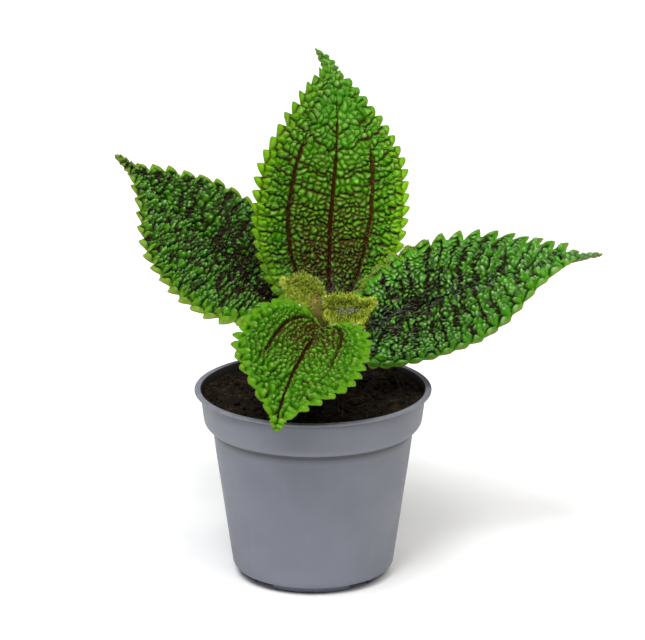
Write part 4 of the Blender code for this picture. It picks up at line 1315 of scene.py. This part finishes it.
# lean is how far a hair leans out of the surface, towards the tip and towards the rim; lengths are in mm
bladeHairs = dict(where=hairsEverywhere, lean=(0.8, 0.5, 0.1), spread=0.25, length=(0.4, 1.2),
                  radius=0.025, bend=0.15, steps=1, skin="silverHair")
youngHairs = dict(where=hairsEverywhere, lean=(1.0, 0.3, 0.3), spread=0.30, length=(0.8, 1.8),
                  radius=0.12, bend=0.2, steps=2, skin="youngHair")
hairSets = {
    "leafBack": (
        dict(bladeHairs, count=2400, where=hairsAtBase, lean=(0.7, 0.5, 0.2), length=(1.0, 2.6),
             radius=0.035, steps=2, skin="paleHair"),
    ),
    "leafFront": (
        dict(bladeHairs, count=1600, length=(0.4, 1.0), radius=0.03, skin="paleHair"),
    ),
    "leafLeft": (
        dict(bladeHairs, count=1600),
    ),
    "leafRight": (
        dict(bladeHairs, count=700),
        dict(bladeHairs, count=600, where=hairsAlongMidrib, lean=(0.6, 0.8, 0.1), spread=0.22,
             length=(1.5, 3.6), radius=0.035, bend=0.12, steps=2),
        dict(bladeHairs, count=180, where=hairsAtBase, lean=(0.5, 0.9, 0.2), length=(2.2, 4.2),
             radius=0.045, bend=0.12, steps=2, skin="paleHair"),
        dict(bladeHairs, count=700, where=hairsOnUpperRim, lean=(0.9, 0.2, 0.5), spread=0.28,
             length=(1.0, 2.2), radius=0.09, steps=2, skin="youngHair"),
    ),
    "youngLeafLeft": (
        dict(youngHairs, count=900, where=hairsOnRim, lean=(0.7, 0.3, 1.5), length=(1.5, 3.0)),
        # peach hairs by the stalk paint the highlight at the base
        dict(youngHairs, count=90, where=hairsByStalk, lean=(1.0, 0.2, 0.2), spread=0.25,
             length=(1.2, 2.2), radius=0.13, skin="peachHighlightHair"),
        dict(youngHairs, count=700),
    ),
    "youngLeafRight": (
        # this leaf's hairs use the lighter copy, painted light for a leaf in shade
        dict(youngHairs, count=1100, where=hairsOnRim, lean=(0.6, 0.3, 1.5), spread=0.28,
             length=(1.3, 2.7), skin="paintedLightYoungHair"),
        # whitish grey hairs in the fold paint the highlight there
        dict(youngHairs, count=110, where=hairsInFold, lean=(1.0, 0.2, 0.2), spread=0.25,
             length=(1.4, 2.4), radius=0.13, skin="greyHighlightHair"),
        # painted light: the lighter hair copy again
        dict(youngHairs, count=700, skin="paintedLightYoungHair"),
    ),
}
stalkColours = ((0.130, 0.150, 0.030), (0.150, 0.070, 0.030))      # green and reddish
stalkSkin = stalkMaterial("stalkSkin", *stalkColours)


def makeLeaf(name, leaf):
    draw = np.random.default_rng(leaf["seed"])
    points, faces, masks, surface = bladeMesh(leaf, draw)
    piece = meshPiece(name, points, faces, leafMaterial(leaf, name))
    for mask, values in masks.items():
        setAttribute(piece, mask, values)
    stalkPoints, stalkFaces, stalkLine = stalkMesh(leaf, surface["frames"])
    joinInto(piece, meshPiece(name + "Stalk", stalkPoints, stalkFaces, stalkSkin))
    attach(piece, "root")
    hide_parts(leaf["node"])
    for number, hairs in enumerate(hairSets[name]):
        hairPoints, hairFaces = surfaceHairs(leaf, surface, hairs, draw)
        fuzz = meshPiece(f"{name}Hairs{number + 1}", hairPoints, hairFaces, hairSkins[hairs["skin"]])
        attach(fuzz, "root")
    hairs = leaf["stalkHairs"]
    hairPoints, hairFaces = lineHairs(stalkLine, leaf["stalkRadius"], hairs, draw)
    fuzz = meshPiece(name + "StalkHairs", hairPoints, hairFaces, hairSkins[hairs["skin"]])
    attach(fuzz, "root")
    print(name + ":", len(piece.data.polygons), "faces")


for leafName, leafValues in leaves.items():
    makeLeaf(leafName, leafValues)


# Stem, in millimetres

stem = {
    # the middle and the radius, from in the soil up to the tip
    "line": (
        (0.6, 0.0, 56.5, 3.4), (0.6, 0.0, 74.0, 3.4), (1.0, -0.2, 80.5, 3.2), (1.3, -0.4, 84.5, 4.1),
        (1.7, -0.6, 88.5, 3.2), (2.1, -0.8, 94.5, 3.8), (2.3, -1.0, 97.5, 3.9), (2.1, -1.0, 101.0, 5.6),
        (2.1, -1.0, 103.6, 5.5), (2.4, -0.8, 105.4, 4.0), (3.0, -0.6, 106.8, 1.5),
    ),
    "sides": 32,
    "steps": 90,
    "smoothings": 6,
    "ridges": ((4, 0.05), (11, 0.015)),                # how many round the stem, and how high
    "colours": ((0.085, 0.088, 0.010), (0.105, 0.070, 0.012)),
    "hairs": dict(count=3600, spread=0.25, length=(0.7, 1.7), radius=0.055, bend=0.15, steps=2,
                  skin="stemHair"),
    "hairsFrom": 14,                                   # the first of the steps that has hairs
    "hairsRise": 0.4,
    "seed": 31,
}


def makeStem():
    draw = np.random.default_rng(stem["seed"])
    knots = np.array(stem["line"]) * mm
    at = np.linspace(0, len(knots) - 1, stem["steps"])
    smoothLine = np.stack([np.interp(at, np.arange(len(knots)), knots[:, k]) for k in range(4)], -1)
    for _ in range(stem["smoothings"]):
        smoothLine[1:-1] = (smoothLine[:-2] + 2 * smoothLine[1:-1] + smoothLine[2:]) / 4
    angles = np.arange(stem["sides"]) * math.tau / stem["sides"]
    ridges = 1.0
    for count, height in stem["ridges"]:
        ridges = ridges + height * np.cos(count * angles)
    points, faces = tube(smoothLine[:, :3], smoothLine[:, 3:] * ridges[None], stem["sides"])
    piece = meshPiece("stemShoot", points, faces, stalkMaterial("stemSkin", *stem["colours"]))
    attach(piece, "root")
    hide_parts("stem")
    hairs = stem["hairs"]
    row = draw.integers(stem["hairsFrom"], stem["steps"] - 1, hairs["count"])
    angle = draw.uniform(0, math.tau, hairs["count"])
    outward = np.stack([np.cos(angle), np.sin(angle), 0 * angle], -1)
    roots = smoothLine[row, :3] + outward * (smoothLine[row, 3] - 0.1 * mm)[:, None]
    heading = outward + np.array([0, 0, stem["hairsRise"]])
    hairPoints, hairFaces = growHairs(roots, heading, hairs, draw)
    fuzz = meshPiece("stemHairs", hairPoints, hairFaces, hairSkins[hairs["skin"]])
    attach(fuzz, "root")
    print("stem stands in the soil")


makeStem()
